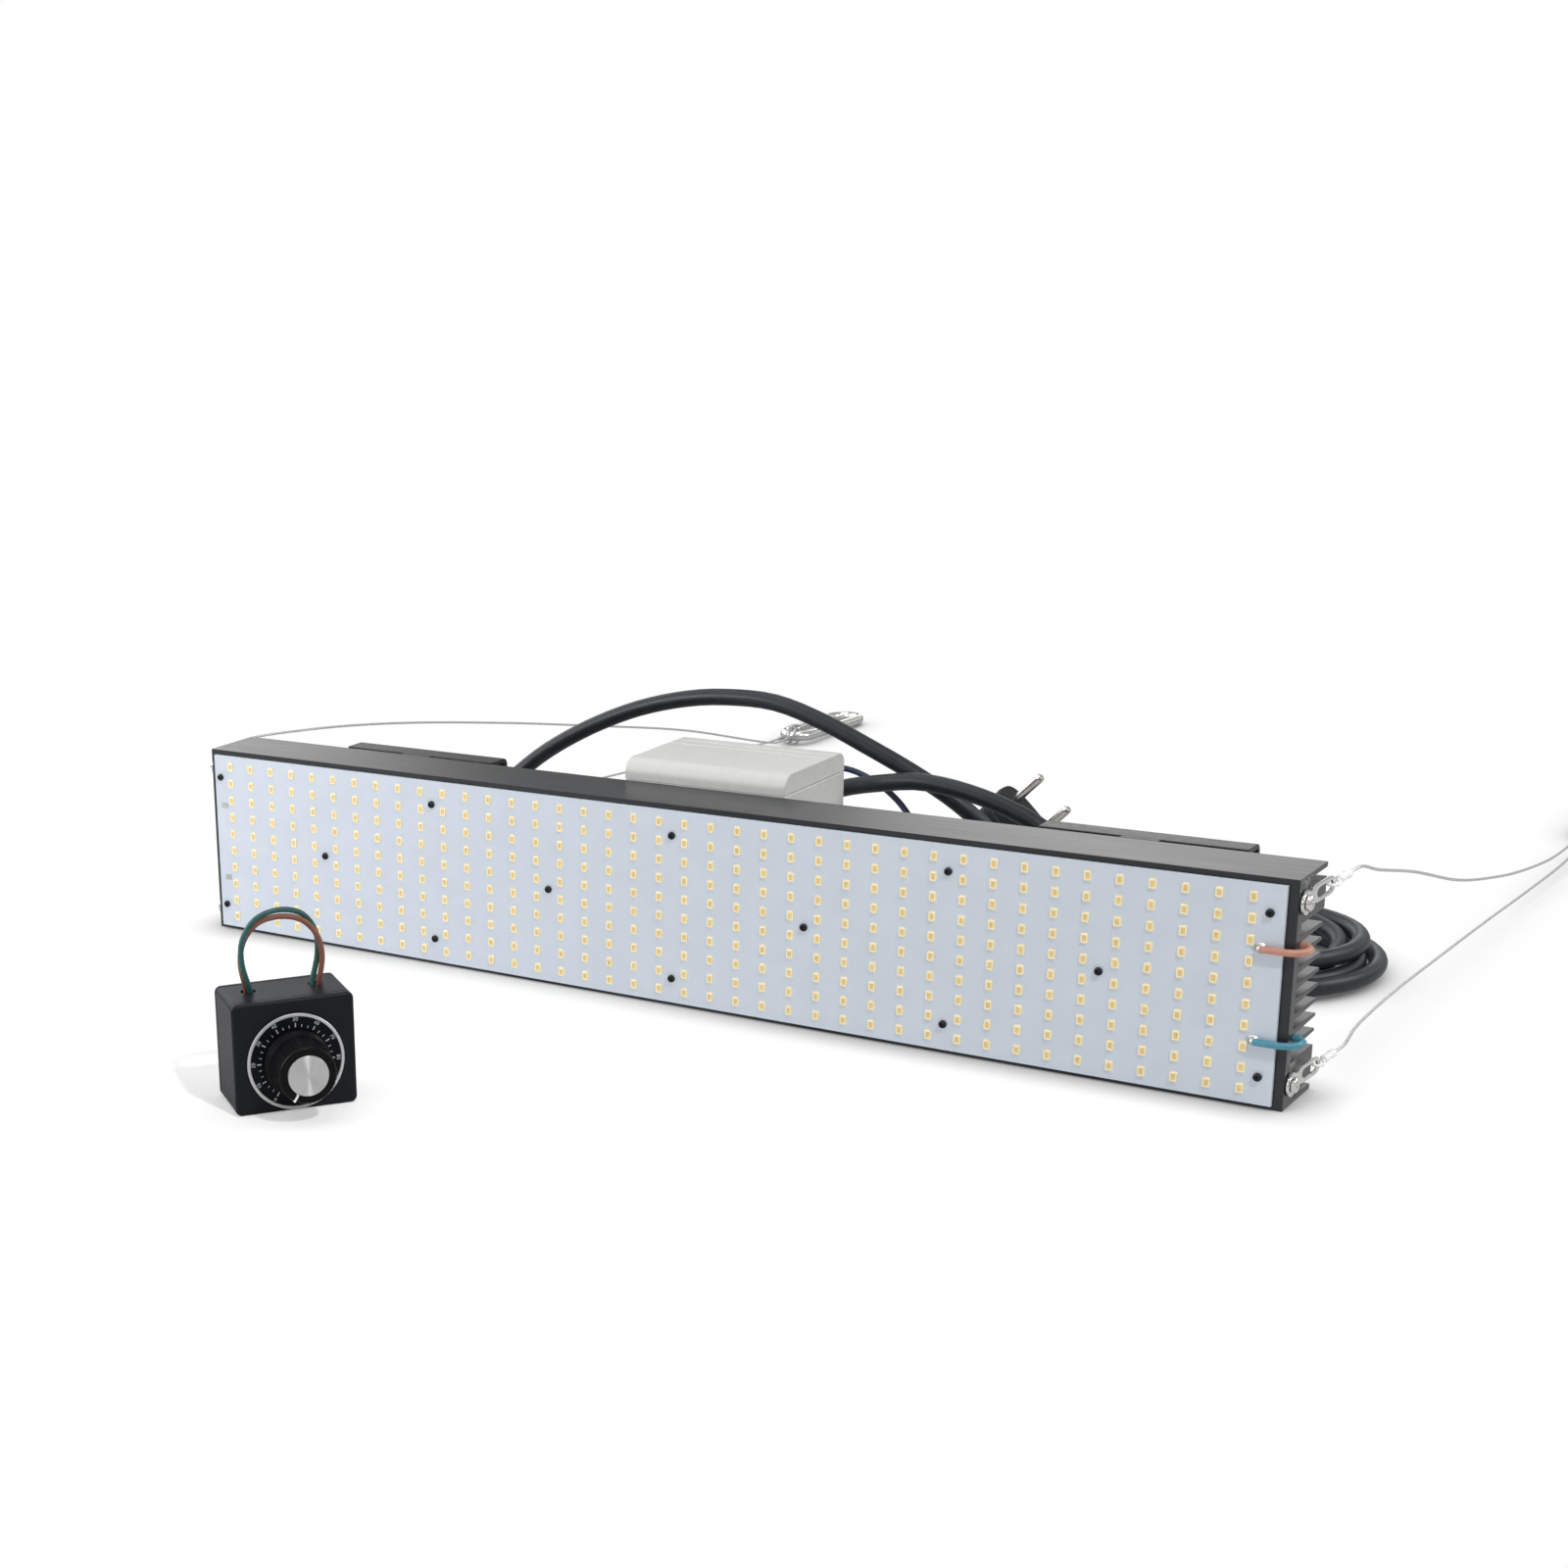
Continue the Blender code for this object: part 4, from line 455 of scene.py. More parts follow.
def smooth_route(points, spacing):
    """Closely spaced points on a smooth curve through given ones, straight at both ends."""
    knots = [Vector(point) for point in points]
    line = [knots[0]]
    for p0, p1, p2, p3 in zip(knots, knots[1:], knots[2:], knots[3:]):
        d0, d1, d2 = [math.sqrt((b - a).length) for a, b in ((p0, p1), (p1, p2), (p2, p3))]
        m1 = (p1 - p0) / d0 - (p2 - p0) / (d0 + d1) + (p2 - p1) / d1
        m2 = (p2 - p1) / d1 - (p3 - p1) / (d1 + d2) + (p3 - p2) / d2
        count = max(1, round((p2 - p1).length / spacing))
        for i in range(count):
            t = i / count
            along = (2 * t**3 - 3 * t**2 + 1) * p1 + (3 * t**2 - 2 * t**3) * p2
            line.append(along + (t**3 - 2 * t**2 + t) * d1 * m1 + (t**3 - t**2) * d1 * m2)
    return line + knots[-2:]


def length_of(points):
    """The length of a line of points."""
    return sum((b - a).length for a, b in zip(points, points[1:]))


def round_curve(name, points, diameter, material, fineness=6):
    """One open curve with a round section."""
    curve = bpy.data.curves.new(name, "CURVE")
    curve.dimensions = "3D"
    curve.bevel_depth = diameter / 2
    curve.bevel_resolution = fineness
    curve.use_fill_caps = True
    spline = curve.splines.new("POLY")
    spline.points.add(len(points) - 1)
    for knot, point in zip(spline.points, points):
        knot.co = (*point, 1.0)
    spline.use_smooth = True
    curve.materials.append(material)
    obj = bpy.data.objects.new(name, curve)
    bpy.context.scene.collection.objects.link(obj)
    print(name, "length", round(length_of([Vector(p) for p in points]), 4))
    return obj


print("cord helpers ready")

# %% [markdown]
# The mains lead is a black rubber cable 7.4 mm thick. It leaves the driver, dips behind it, rises over
# the panel's edge and runs down into a tied coil. From the coil it goes along the floor behind the
# panel, rises in the tall arch that the photograph shows, and ends at the plug. The coil is a flat
# spiral that runs inwards on the floor and outwards on top of itself.

# %% Mains lead
CABLE = 0.0074
COIL_CENTRE = Vector((0.180, 0.152, 0))
STUB_ROUTE = [
    (-0.06725, 0.0285, 0.0645), (-0.07835, 0.0285, 0.0645), (-0.1040, 0.0335, 0.0640),
    (-0.1185, 0.0500, 0.0630), (-0.1180, 0.0700, 0.0620), (-0.1030, 0.0850, 0.0612),
    (-0.0820, 0.0890, 0.0606), (-0.0500, 0.0860, 0.0610), (-0.0150, 0.0795, 0.0650),
    (0.0120, 0.0762, 0.0715), (0.0325, 0.0752, 0.0785), (0.0482, 0.0750, 0.0818),
    (0.0614, 0.0750, 0.0838), (0.0745, 0.0750, 0.0833), (0.0917, 0.0749, 0.0801),
    (0.1088, 0.0748, 0.0746), (0.1190, 0.0745, 0.0695), (0.1290, 0.0747, 0.0620),
    (0.1380, 0.0765, 0.0515), (0.1445, 0.0797, 0.0405), (0.1500, 0.0845, 0.0293),
    (0.1552, 0.0905, 0.0185), (0.1602, 0.0960, 0.0105),
]
ARCH_ROUTE = [
    (0.1343, 0.1300, 0.0136), (0.1315, 0.1120, 0.0118), (0.1245, 0.0950, 0.0088),
    (0.1125, 0.0800, 0.0062), (0.0960, 0.0680, 0.0045), (0.0760, 0.0600, 0.0040),
    (0.0500, 0.0555, 0.0040), (0.0000, 0.0525, 0.0040), (-0.0600, 0.0520, 0.0040),
    (-0.1050, 0.0520, 0.0040), (-0.1250, 0.0525, 0.0043), (-0.1440, 0.0545, 0.0082),
    (-0.1570, 0.0595, 0.0190), (-0.1610, 0.0665, 0.0330), (-0.1570, 0.0735, 0.0465),
    (-0.1480, 0.0800, 0.0585), (-0.1364, 0.0845, 0.0697), (-0.1253, 0.0855, 0.0779),
    (-0.1036, 0.0855, 0.0902), (-0.0776, 0.0855, 0.1012), (-0.0526, 0.0855, 0.1077),
    (-0.0330, 0.0855, 0.1100), (-0.0090, 0.0855, 0.1095), (0.0144, 0.0855, 0.1028),
    (0.0330, 0.0857, 0.0950), (0.0558, 0.0865, 0.0844), (0.0750, 0.0895, 0.0725),
    (0.0910, 0.0955, 0.0570), (0.1030, 0.1055, 0.0400), (0.1100, 0.1200, 0.0230),
    (0.1100, 0.1410, 0.0105), (0.1020, 0.1650, 0.0050), (0.0880, 0.1920, 0.0040),
    (0.0680, 0.2250, 0.0040), (0.0400, 0.2530, 0.0040), (0.0060, 0.2630, 0.0040),
    (-0.0250, 0.2510, 0.0040), (-0.0380, 0.2260, 0.0040), (-0.0270, 0.2040, 0.0040),
    (-0.0060, 0.1970, 0.0040), (0.0120, 0.1972, 0.0046),
]
PLUG_NOSE = Vector((0.0661, 0.1865, 0.045))
PLUG_AXIS = Vector((0.70, -0.185, 0.69)).normalized()
PLUG_ACROSS = Vector((0.713, 0.0, -0.697))
PLUG_LENGTH = 0.050


def coil_points():
    """In on the lower layer for two turns, up, and out again on the upper layer."""
    outer, pitch, low, lift, steps_per_turn = 0.0515, 0.008, 0.0057, 0.0082, 24
    points = []
    for i in range(91):
        turn = i / steps_per_turn
        angle = turn * math.tau - math.pi / 2
        rise = min(1.0, max(0.0, (turn - 2.0) / 0.5))
        radius = outer - pitch * min(turn, 4.5 - turn)
        height = low + lift * (3 * rise**2 - 2 * rise**3)
        points.append(COIL_CENTRE + Vector((radius * math.cos(angle), radius * math.sin(angle), height)))
    return points


coil = coil_points()
lead_in = [coil[0] - Vector((step * CABLE, 0, 0)) for step in (2.05, 1.0)]
lead_out = [coil[-1] - Vector((0, step * CABLE, 0)) for step in (1.0, 1.65)]
plug_tail = PLUG_NOSE - PLUG_AXIS * (PLUG_LENGTH + 0.0003)
tail = [plug_tail - PLUG_AXIS * 0.8 * CABLE, plug_tail]
mains_points = smooth_route([*STUB_ROUTE, *lead_in, *coil, *lead_out, *ARCH_ROUTE, *tail], 0.8 * CABLE)
cable_black = finish("cable_black", (0.018, 0.023, 0.027), 0.40, 0.0, 0.15, 220.0, bump=0.12, shine=0.35)
mains_lead = round_curve("mains_lead", mains_points, CABLE, cable_black)
stand_in(mains_lead, ["mains_cable_stub", "mains_cable_coil", "mains_cable_arch"])

# %% [markdown]
# Each end of the panel hangs from two thin steel wires that meet in one snap hook. A wire starts at the
# sleeve on its lug, follows the curve seen in the photograph, passes a crimp and loops round the
# hook's eye. The lug and the hook each have a frame, so that both ends of a wire are given in plain
# local coordinates.

# %% Hanging wires
CORNERS = ("left_upper", "left_lower", "right_upper", "right_lower")
WIRE = 0.0012
SINK_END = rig.box("heat_sink")[1][0]
LUG_TILT, LUG_BEND, LUG_WAIST = math.radians(10), math.radians(14), 0.0058
LUG_Y, LUG_MIDDLE, LUG_HEIGHTS = -0.0098, 0.0009, {"upper": 0.0772, "lower": 0.0092}
SLEEVE_START, SLEEVE_END, WIRE_STRAIGHT = 0.0226, 0.0299, 0.0347
WIRE_APART, EYE_SLACK = 0.0022, 0.0008
HOOK_LENGTH, HOOK_WIDTH, EYE_WIDTH, HOOK_ROD = 0.080, 0.026, 0.022, 0.006
HOOK_DIP, EYE_HEIGHT = 0.0023, 0.0056
HOOK_AT = {"left": (-0.1930, 0.4580), "right": (0.2499, 0.4262)}
HANGER_ROUTES = {
    "left_upper": [
        (-0.2455, 0.0600, 0.0816), (-0.2386, 0.1169, 0.0742), (-0.2302, 0.1925, 0.0608),
        (-0.2212, 0.2746, 0.0443), (-0.2112, 0.3643, 0.0251),
    ],
    "left_lower": [
        (-0.2478, 0.0631, 0.0110), (-0.2455, 0.1200, 0.0118), (-0.2405, 0.2000, 0.0105),
        (-0.2335, 0.2900, 0.0080), (-0.2215, 0.3700, 0.0052), (-0.2065, 0.4100, 0.0050),
    ],
    "right_upper": [
        (0.2494, 0.0740, 0.0694), (0.2495, 0.1193, 0.0579), (0.2496, 0.1872, 0.0382),
        (0.2496, 0.2409, 0.0264), (0.2496, 0.2869, 0.0180), (0.2490, 0.3500, 0.0095),
    ],
    "right_lower": [
        (0.2494, 0.0631, 0.0110), (0.2495, 0.1041, 0.0119), (0.2500, 0.1646, 0.0106),
        (0.2508, 0.2303, 0.0090), (0.2515, 0.2920, 0.0069), (0.2520, 0.3550, 0.0052),
    ],
}


def lug_frame(corner):
    """X along the lug towards the back, Y up across it, Z out of the panel's end."""
    side = -1 if corner.startswith("left") else 1
    height = LUG_HEIGHTS[corner.split("_")[1]]
    along = Vector((0, math.cos(LUG_TILT), math.sin(LUG_TILT)))
    across = Vector((0, -math.sin(LUG_TILT), math.cos(LUG_TILT)))
    turn = Matrix((along, across, Vector((side, 0, 0)))).transposed().to_4x4()
    return Matrix.Translation((side * SINK_END, LUG_Y, height)) @ turn


def lug_tip(corner):
    """The lug's frame beyond its waist, where it folds out from the panel's end."""
    fold = Matrix.Translation((LUG_WAIST, 0, 0))
    return lug_frame(corner) @ fold @ Matrix.Rotation(-LUG_BEND, 4, "Y") @ fold.inverted()


def hook_frame(side):
    """X from the hook's eye to its nose, Y across it, Z up. The nose rests on the floor."""
    along = Vector((0, HOOK_LENGTH - HOOK_ROD, -HOOK_DIP)).normalized()
    across = Vector((-1, 0, 0))
    turn = Matrix((along, across, along.cross(across))).transposed().to_4x4()
    return Matrix.Translation((*HOOK_AT[side], EYE_HEIGHT)) @ turn


def wire_offset(corner):
    """The two wires of a hook lie side by side in its eye."""
    return -WIRE_APART if corner in ("left_upper", "right_lower") else WIRE_APART


def eye_bar(corner):
    """How far the eye's bent bar lies behind its foremost point, at this wire."""
    bend = (EYE_WIDTH - HOOK_ROD) / 2
    return bend - math.sqrt(bend**2 - wire_offset(corner) ** 2)


EYE_LOOP = HOOK_ROD / 2 + EYE_SLACK + WIRE / 2


def wire_points(corner):
    """From the sleeve along the seen curve to the crimp, and on round the hook's eye."""
    lug, hook, across = lug_tip(corner), hook_frame(corner.split("_")[0]), wire_offset(corner)
    start = [lug @ Vector((u, 0, LUG_MIDDLE)) for u in (SLEEVE_END, WIRE_STRAIGHT)]
    bar = eye_bar(corner)
    crimp = bar - EYE_LOOP - 0.001
    ends = [hook @ Vector((u, across, 0)) for u in (crimp - 0.020, crimp - 0.008)]
    line = smooth_route(start + HANGER_ROUTES[corner] + ends, 5 * WIRE)
    loop = [hook @ Vector((u, across, w)) for u, w in arc((bar, 0), EYE_LOOP, 155, -130, 24)]
    return line + [hook @ Vector((crimp, across, 0))] + loop


wire_steel = finish("wire_steel", (0.62, 0.62, 0.63), 0.40, 0.7, 0.15, 1500.0, bump=0.3, depth=0.0003)
hanging_wires = {}
for corner in CORNERS:
    wire = round_curve(f"hanging_wire_{corner}", wire_points(corner), WIRE, wire_steel, 4)
    hanging_wires[corner] = stand_in(wire, [f"hanger_wire_{corner}"])

# %% [markdown]
# Two short leads join the LED board to the driver. Each is soldered to a pad at the right end, bends
# round the end of the heat sink and runs back between its fins. One goes into the driver's end and the
# other rises behind the driver and goes into its back. That one is teal at the board. Behind the panel,
# where it lies in shade, its finish leads over to dark blue: a painted shade.

# %% LED leads
LEAD = 0.0026
LEAD_END_X = 0.23685
DRIVER_RIGHT, DRIVER_BACK, SINK_BACK = 0.03285, 0.0685, 0.0149


def lead_start(z):
    """From the pad, round the end of the heat sink and into a fin channel."""
    lie, mouth = -0.0184, -0.006
    bend = arc((SINK_END - 0.002, (lie + mouth) / 2), (mouth - lie) / 2, -90, 90, 5)
    line = [(LEAD_END_X, lie), (LEAD_END_X + 2 * LEAD, lie), *bend]
    line += [(SINK_END - 8 * LEAD, mouth), (SINK_END - 20 * LEAD, 0.006)]
    return [(x, y, z) for x, y in line]


def positive_route(z, entry):
    """Out of the fin channel and into the driver's right end."""
    near = [(DRIVER_RIGHT + u, 0.006, z) for u in (0.060, 0.030)]
    return lead_start(z) + near + [
        (DRIVER_RIGHT + 0.022, 0.010, z), (DRIVER_RIGHT + 0.016, 0.0179, z + (entry - z) / 4),
        (DRIVER_RIGHT + 0.010, 0.0269, entry), (DRIVER_RIGHT + 0.004, 0.0309, entry),
        (DRIVER_RIGHT + 0.0003, 0.0314, entry),
    ]


def negative_route(z, entry):
    """Out of the fin channel, up behind the driver and into its back."""
    rise = [
        (0.110, -0.0089, 0), (0.085, -0.0089, 0), (0.075, -0.0039, 0), (0.069, 0.004, 0.0006),
        (0.063, 0.016, 0.0075), (0.050, 0.036, 0.018), (0.036, 0.056, 0.030), (0.022, 0.0665, 0.0435),
        (0.014, 0.0670, 0.0505), (0.007, 0.0670, 0.0545),
    ]
    over = [
        (-0.004, 0.0829, -0.0005), (-0.016, 0.0790, 0.0012), (-0.0225, 0.0745, 0.001),
        (-0.0240, 0.070233, 0.001), (-0.0240, 0.0688, 0.001),
    ]
    points = lead_start(z) + [(DRIVER_RIGHT + x, SINK_BACK + y, z + up) for x, y, up in rise]
    return points + [(DRIVER_RIGHT + x, y, entry + up) for x, y, up in over]


def paint_shade_behind(material, colour, start, end):
    """Paints shade into a finish: leads it over to a darker colour between two depths behind the panel."""
    nodes, links = material.node_tree.nodes, material.node_tree.links
    shader = next(node for node in nodes if node.type == "BSDF_PRINCIPLED")
    near = shader.inputs["Base Color"].links[0].from_socket
    place = nodes.new("ShaderNodeTexCoord")
    split = nodes.new("ShaderNodeSeparateXYZ")
    depth = nodes.new("ShaderNodeMapRange")
    depth.inputs["From Min"].default_value = start
    depth.inputs["From Max"].default_value = end
    blend = nodes.new("ShaderNodeMix")
    blend.data_type = "RGBA"
    factor, first, second = [blend.inputs[index] for index in (0, 6, 7)]
    second.default_value = (*colour, 1.0)
    links.new(place.outputs["Object"], split.inputs[0])
    links.new(split.outputs["Y"], depth.inputs["Value"])
    links.new(depth.outputs[0], factor)
    links.new(near, first)
    links.new(blend.outputs[2], shader.inputs["Base Color"])


salmon = finish("lead_salmon", (0.54, 0.25, 0.18), 0.42, 0.0, 0.08, 400.0)
teal = finish("lead_teal", (0.07, 0.27, 0.36), 0.42, 0.0, 0.08, 400.0)
# Painted shade: behind the panel the negative lead's colour leads over to this dark blue, where the wire lies in
# shade.
PAINTED_SHADE_BLUE, PAINTED_SHADE_FROM, PAINTED_SHADE_TO = (0.018, 0.028, 0.075), 0.014, 0.032
paint_shade_behind(teal, PAINTED_SHADE_BLUE, PAINTED_SHADE_FROM, PAINTED_SHADE_TO)
POSITIVE_Z, NEGATIVE_Z = 0.0605333, 0.0258667
POSITIVE_ENTRY, NEGATIVE_ENTRY = 0.063795, 0.0843
positive_points = smooth_route(positive_route(POSITIVE_Z, POSITIVE_ENTRY), LEAD)
negative_points = smooth_route(negative_route(NEGATIVE_Z, NEGATIVE_ENTRY), LEAD)
positive_lead = round_curve("led_lead_positive", positive_points, LEAD, salmon)
negative_lead = round_curve("led_lead_negative", negative_points, LEAD, teal)
stand_in(positive_lead, ["positive_lead"])
stand_in(negative_lead, ["negative_lead"])

# %% [markdown]
# The dimmer stands in front of the panel. Two wires leave one hole in its top, twist over each other
# and go into the other hole. The pair shares one middle line, and each wire is turned about that line
# as it goes, so they cross without touching.

# %% Dimmer leads
DIMMER = Matrix.Translation((-0.05935, -0.1977, 0)) @ Matrix.Rotation(math.radians(52.8), 4, "Z")
DIMMER_TOP = 0.0445
DIMMER_LEAD = 0.0022
HOLE_X, HOLE_Y = 0.0133, 0.016
ARCH_RISE, ARCH_FOOT, PAIR_APART = 0.0295, 0.38, 0.0013


def twisted_pair_point(u, z, t, side):
    """One wire's point beside the pair's middle line. The pair turns from one foot to the other."""
    turn = math.radians(150 if t < 0 else 200) * t
    out = Vector((u, max(0.0, z - DIMMER_TOP - ARCH_FOOT * ARCH_RISE))).normalized()
    shift = side * PAIR_APART
    across = shift * math.cos(turn)
    return DIMMER @ Vector((u + across * out.x, HOLE_Y + shift * math.sin(turn), z + across * out.y))


def dimmer_lead_points(side):
    """Up from one hole, over the arch and down into the other."""
    bulge = HOLE_X + 0.0022
    steps = [(bulge, ARCH_FOOT), (bulge * 0.93, 0.68), (bulge * 0.58, 0.92)]
    half = [(HOLE_X, DIMMER_TOP - 0.004), (HOLE_X, DIMMER_TOP)]
    half += [(u, DIMMER_TOP + ARCH_RISE * part) for u, part in steps]
    line = [(-u, z) for u, z in half] + [(0, DIMMER_TOP + ARCH_RISE)] + half[::-1]
    spans = [2 * i / (len(line) - 1) - 1 for i in range(len(line))]
    return smooth_route([twisted_pair_point(u, z, t, side) for (u, z), t in zip(line, spans)], DIMMER_LEAD)


green = finish("lead_green", (0.020, 0.090, 0.085), 0.45, 0.0, 0.10, 400.0)
brown = finish("lead_brown", (0.22, 0.080, 0.052), 0.45, 0.0, 0.10, 400.0)
dimmer_leads = {}
for colour, side, look in (("green", 1, green), ("brown", -1, brown)):
    wire = round_curve(f"dimmer_wire_{colour}", dimmer_lead_points(side), DIMMER_LEAD, look)
    dimmer_leads[colour] = stand_in(wire, [f"dimmer_lead_{colour}"])

# %% [markdown]
# The rigid pieces use a handful of makers. One closes a bmesh into a finished object. One pulls an
# outline into a slab, one turns a profile like a lathe, and one bevels every sharp edge, because a real
# edge always catches a thin line of light.

# %% Makers for rigid pieces


def frame_of(origin, along, up):
    """A matrix whose Z axis runs along one direction and whose X axis is nearest another."""
    z = Vector(along).normalized()
    x = (Vector(up) - z * z.dot(Vector(up))).normalized()
    turn = Matrix((x, z.cross(x), z)).transposed().to_4x4()
    return Matrix.Translation(Vector(origin)) @ turn


def parts_of(made, kind):
    """The vertices, edges or faces in what an operator returns."""
    return [item for item in made["geom"] if isinstance(item, kind)]


def pull(bm, faces, way):
    """Extrudes faces and moves the new ones."""
    made = bmesh.ops.extrude_face_region(bm, geom=faces)
    bmesh.ops.translate(bm, verts=parts_of(made, bmesh.types.BMVert), vec=way)
    return parts_of(made, bmesh.types.BMFace)


def ring_of(bm, points):
    """New vertices and the edges that join them in a closed ring."""
    verts = [bm.verts.new(point) for point in points]
    return verts, [bm.edges.new(pair) for pair in zip(verts, verts[1:] + verts[:1])]


def slab(bm, outline, place, start, end, holes=()):
    """A flat outline, with or without holes, pulled along the Z axis of its place."""
    rings = [ring_of(bm, [place @ Vector((u, v, start)) for u, v in loop]) for loop in (outline, *holes)]
    if holes:
        edges = [edge for _, ring in rings for edge in ring]
        filled = bmesh.ops.triangle_fill(bm, use_beauty=True, use_dissolve=True, edges=edges)
        faces = parts_of(filled, bmesh.types.BMFace)
    else:
        faces = [bm.faces.new(rings[0][0])]
    pull(bm, faces, place.to_3x3() @ Vector((0, 0, end - start)))


def turned(bm, profile, steps, place):
    """Radius and height pairs turned about the Z axis of their place."""
    points = [bm.verts.new(place @ Vector((r, 0, h))) for r, h in profile]
    edges = [bm.edges.new(pair) for pair in zip(points, points[1:])]
    bmesh.ops.spin(
        bm, geom=points + edges, cent=place.translation, axis=place.to_3x3() @ Vector((0, 0, 1)),
        dvec=(0, 0, 0), angle=math.tau, steps=steps, use_merge=True, use_duplicate=False,
    )
    bmesh.ops.remove_doubles(bm, verts=bm.verts[:], dist=1e-7)


def loft(bm, rings):
    """Closed rings of points, each bridged to the next."""
    made = [ring_of(bm, ring) for ring in rings]
    for (_, first), (_, second) in zip(made, made[1:]):
        bmesh.ops.bridge_loops(bm, edges=first + second)
    return [verts for verts, _ in made]


def sharp(bm, least=30):
    """The edges that fold by more than a given number of degrees."""
    bmesh.ops.recalc_face_normals(bm, faces=bm.faces[:])
    edges = [edge for edge in bm.edges if len(edge.link_faces) == 2]
    return [edge for edge in edges if edge.calc_face_angle() > math.radians(least)]


def soften(bm, width, segments=2, edges=None):
    """Bevels the given edges, or every sharp one."""
    bmesh.ops.bevel(
        bm, geom=sharp(bm) if edges is None else edges, offset=width, offset_type="OFFSET",
        segments=segments, profile=0.5, affect="EDGES", material=-1, clamp_overlap=True,
    )


def piece(name, bm, materials, nodes=(), body="light", crease=35):
    """One finished object from a bmesh, on its body and in place of its solids."""
    bmesh.ops.remove_doubles(bm, verts=bm.verts[:], dist=1e-7)
    bmesh.ops.recalc_face_normals(bm, faces=bm.faces[:])
    mesh = bpy.data.meshes.new(name)
    bm.to_mesh(mesh)
    bm.free()
    mesh.polygons.foreach_set("use_smooth", [True] * len(mesh.polygons))
    mesh.set_sharp_from_angle(angle=math.radians(crease))
    for material in materials:
        mesh.materials.append(material)
    obj = bpy.data.objects.new(name, mesh)
    bpy.context.scene.collection.objects.link(obj)
    obj.modifiers.new("flat_faces_stay_flat", "WEIGHTED_NORMAL").keep_sharp = True
    print(name, len(mesh.polygons), "faces")
    return stand_in(obj, nodes, body)


def mesh_of(obj):
    """The surface of a curve as a bmesh. The curve itself is removed."""
    bpy.context.view_layer.update()
    surface = bpy.data.meshes.new_from_object(obj.evaluated_get(bpy.context.evaluated_depsgraph_get()))
    bm = bmesh.new()
    bm.from_mesh(surface)
    bpy.data.objects.remove(obj, do_unlink=True)
    bmesh.ops.remove_doubles(bm, verts=bm.verts[:], dist=1e-7)
    return bm


UP = Vector((0, 0, 1))
ALONG_X = Matrix(((0, 0, 1, 0), (1, 0, 0, 0), (0, 1, 0, 0), (0, 0, 0, 1)))
print("makers ready")

# %% [markdown]
# The heat sink is one aluminium extrusion, black anodised. Its section has a thick front wall, a thin
# flange at the top and bottom, a thick screw rib inside each flange and eight tapered fins. It could be
# joined from boxes, but then the joins would show, so the section is drawn once as an outline and pulled
# along X. A small bevel on every edge gives the thin bright lines that the flanges and fins show, and the
# finish has faint draw lines along X.

# %% Heat sink
SINK_TOP = 0.0864


def sink_outline():
    """The flange, wedge slot and screw rib of the upper half, the fins, and the lower half mirrored."""
    wall, flange, slot, slot_depth, rib = 0.005, 0.002, 0.0054, 0.0125, 0.0172
    fin_root, fin_tip = 0.0013, 0.0006
    front, back, root, top = -SINK_BACK, SINK_BACK, -SINK_BACK + wall, SINK_TOP
    upper = [
        (front, top), (back, top), (back, top - flange), (front + slot_depth, top - flange),
        (back, top - slot), (back, top - rib), (root, top - rib),
    ]
    fins = []
    for i in range(8):
        z = top / 2 + (3.5 - i) * (top - 2 * rib) / 9
        fins += [(root, z + fin_root), (back, z + fin_tip), (back, z - fin_tip), (root, z - fin_root)]
    return upper + fins + [(y, top - z) for y, z in reversed(upper)]


anodised = finish("black_anodised", (0.017, 0.019, 0.022), 0.30, 0.0, 0.10, 40.0, (0.6, 30, 30), 0.08)
sink_bm = bmesh.new()
slab(sink_bm, sink_outline(), ALONG_X, -SINK_END, SINK_END)
soften(sink_bm, 0.00022, 2)
piece("extruded_heat_sink", sink_bm, [anodised], ["heat_sink"])

# %% [markdown]
# The LED board is a thin metal plate with white solder mask. It carries ten rows of forty LEDs. Each
# LED is a small cream box with a shallow window, and the window is filled with yellow phosphor. All of
# them go into one mesh, because four hundred objects would be slow to handle: cubes first, then one
# bevel, then one inset that sinks every window. A low strip of solder shows at the two short ends of
# every LED.

# %% LED board
BOARD_LOW, BOARD_HIGH = [Vector(corner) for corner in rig.box("led_board")]
BOARD_FRONT = -0.0168
BOARD_X = (BOARD_LOW.x + BOARD_HIGH.x) / 2
BOARD_GAP = Vector((0, 0, 0.0010))
LED_COLUMNS, LED_ROWS, LED_STEP_X, LED_STEP_Z = 40, 10, 0.012, 0.008


def add_box(bm, low, high):
    """A box between two corners."""
    low, high = Vector(low), Vector(high)
    size = Matrix.Diagonal((*(high - low), 1.0))
    bmesh.ops.create_cube(bm, size=1.0, matrix=Matrix.Translation((low + high) / 2) @ size)


def box_on_board(bm, x, z, half_x, half_z, height):
    """A box that stands on the board's face."""
    add_box(bm, (x - half_x, BOARD_FRONT - height, z - half_z), (x + half_x, BOARD_FRONT, z + half_z))


board_white = finish("board_white", (0.60, 0.66, 0.74), 0.38, 0.0, 0.02, 90.0)
board_bm = bmesh.new()
board_corner = (BOARD_LOW.x + 0.0016, BOARD_FRONT, BOARD_LOW.z + 0.0006)
add_box(board_bm, board_corner, BOARD_HIGH - BOARD_GAP)
soften(board_bm, 0.00018, 2)
piece("led_board_plate", board_bm, [board_white], ["led_board"])

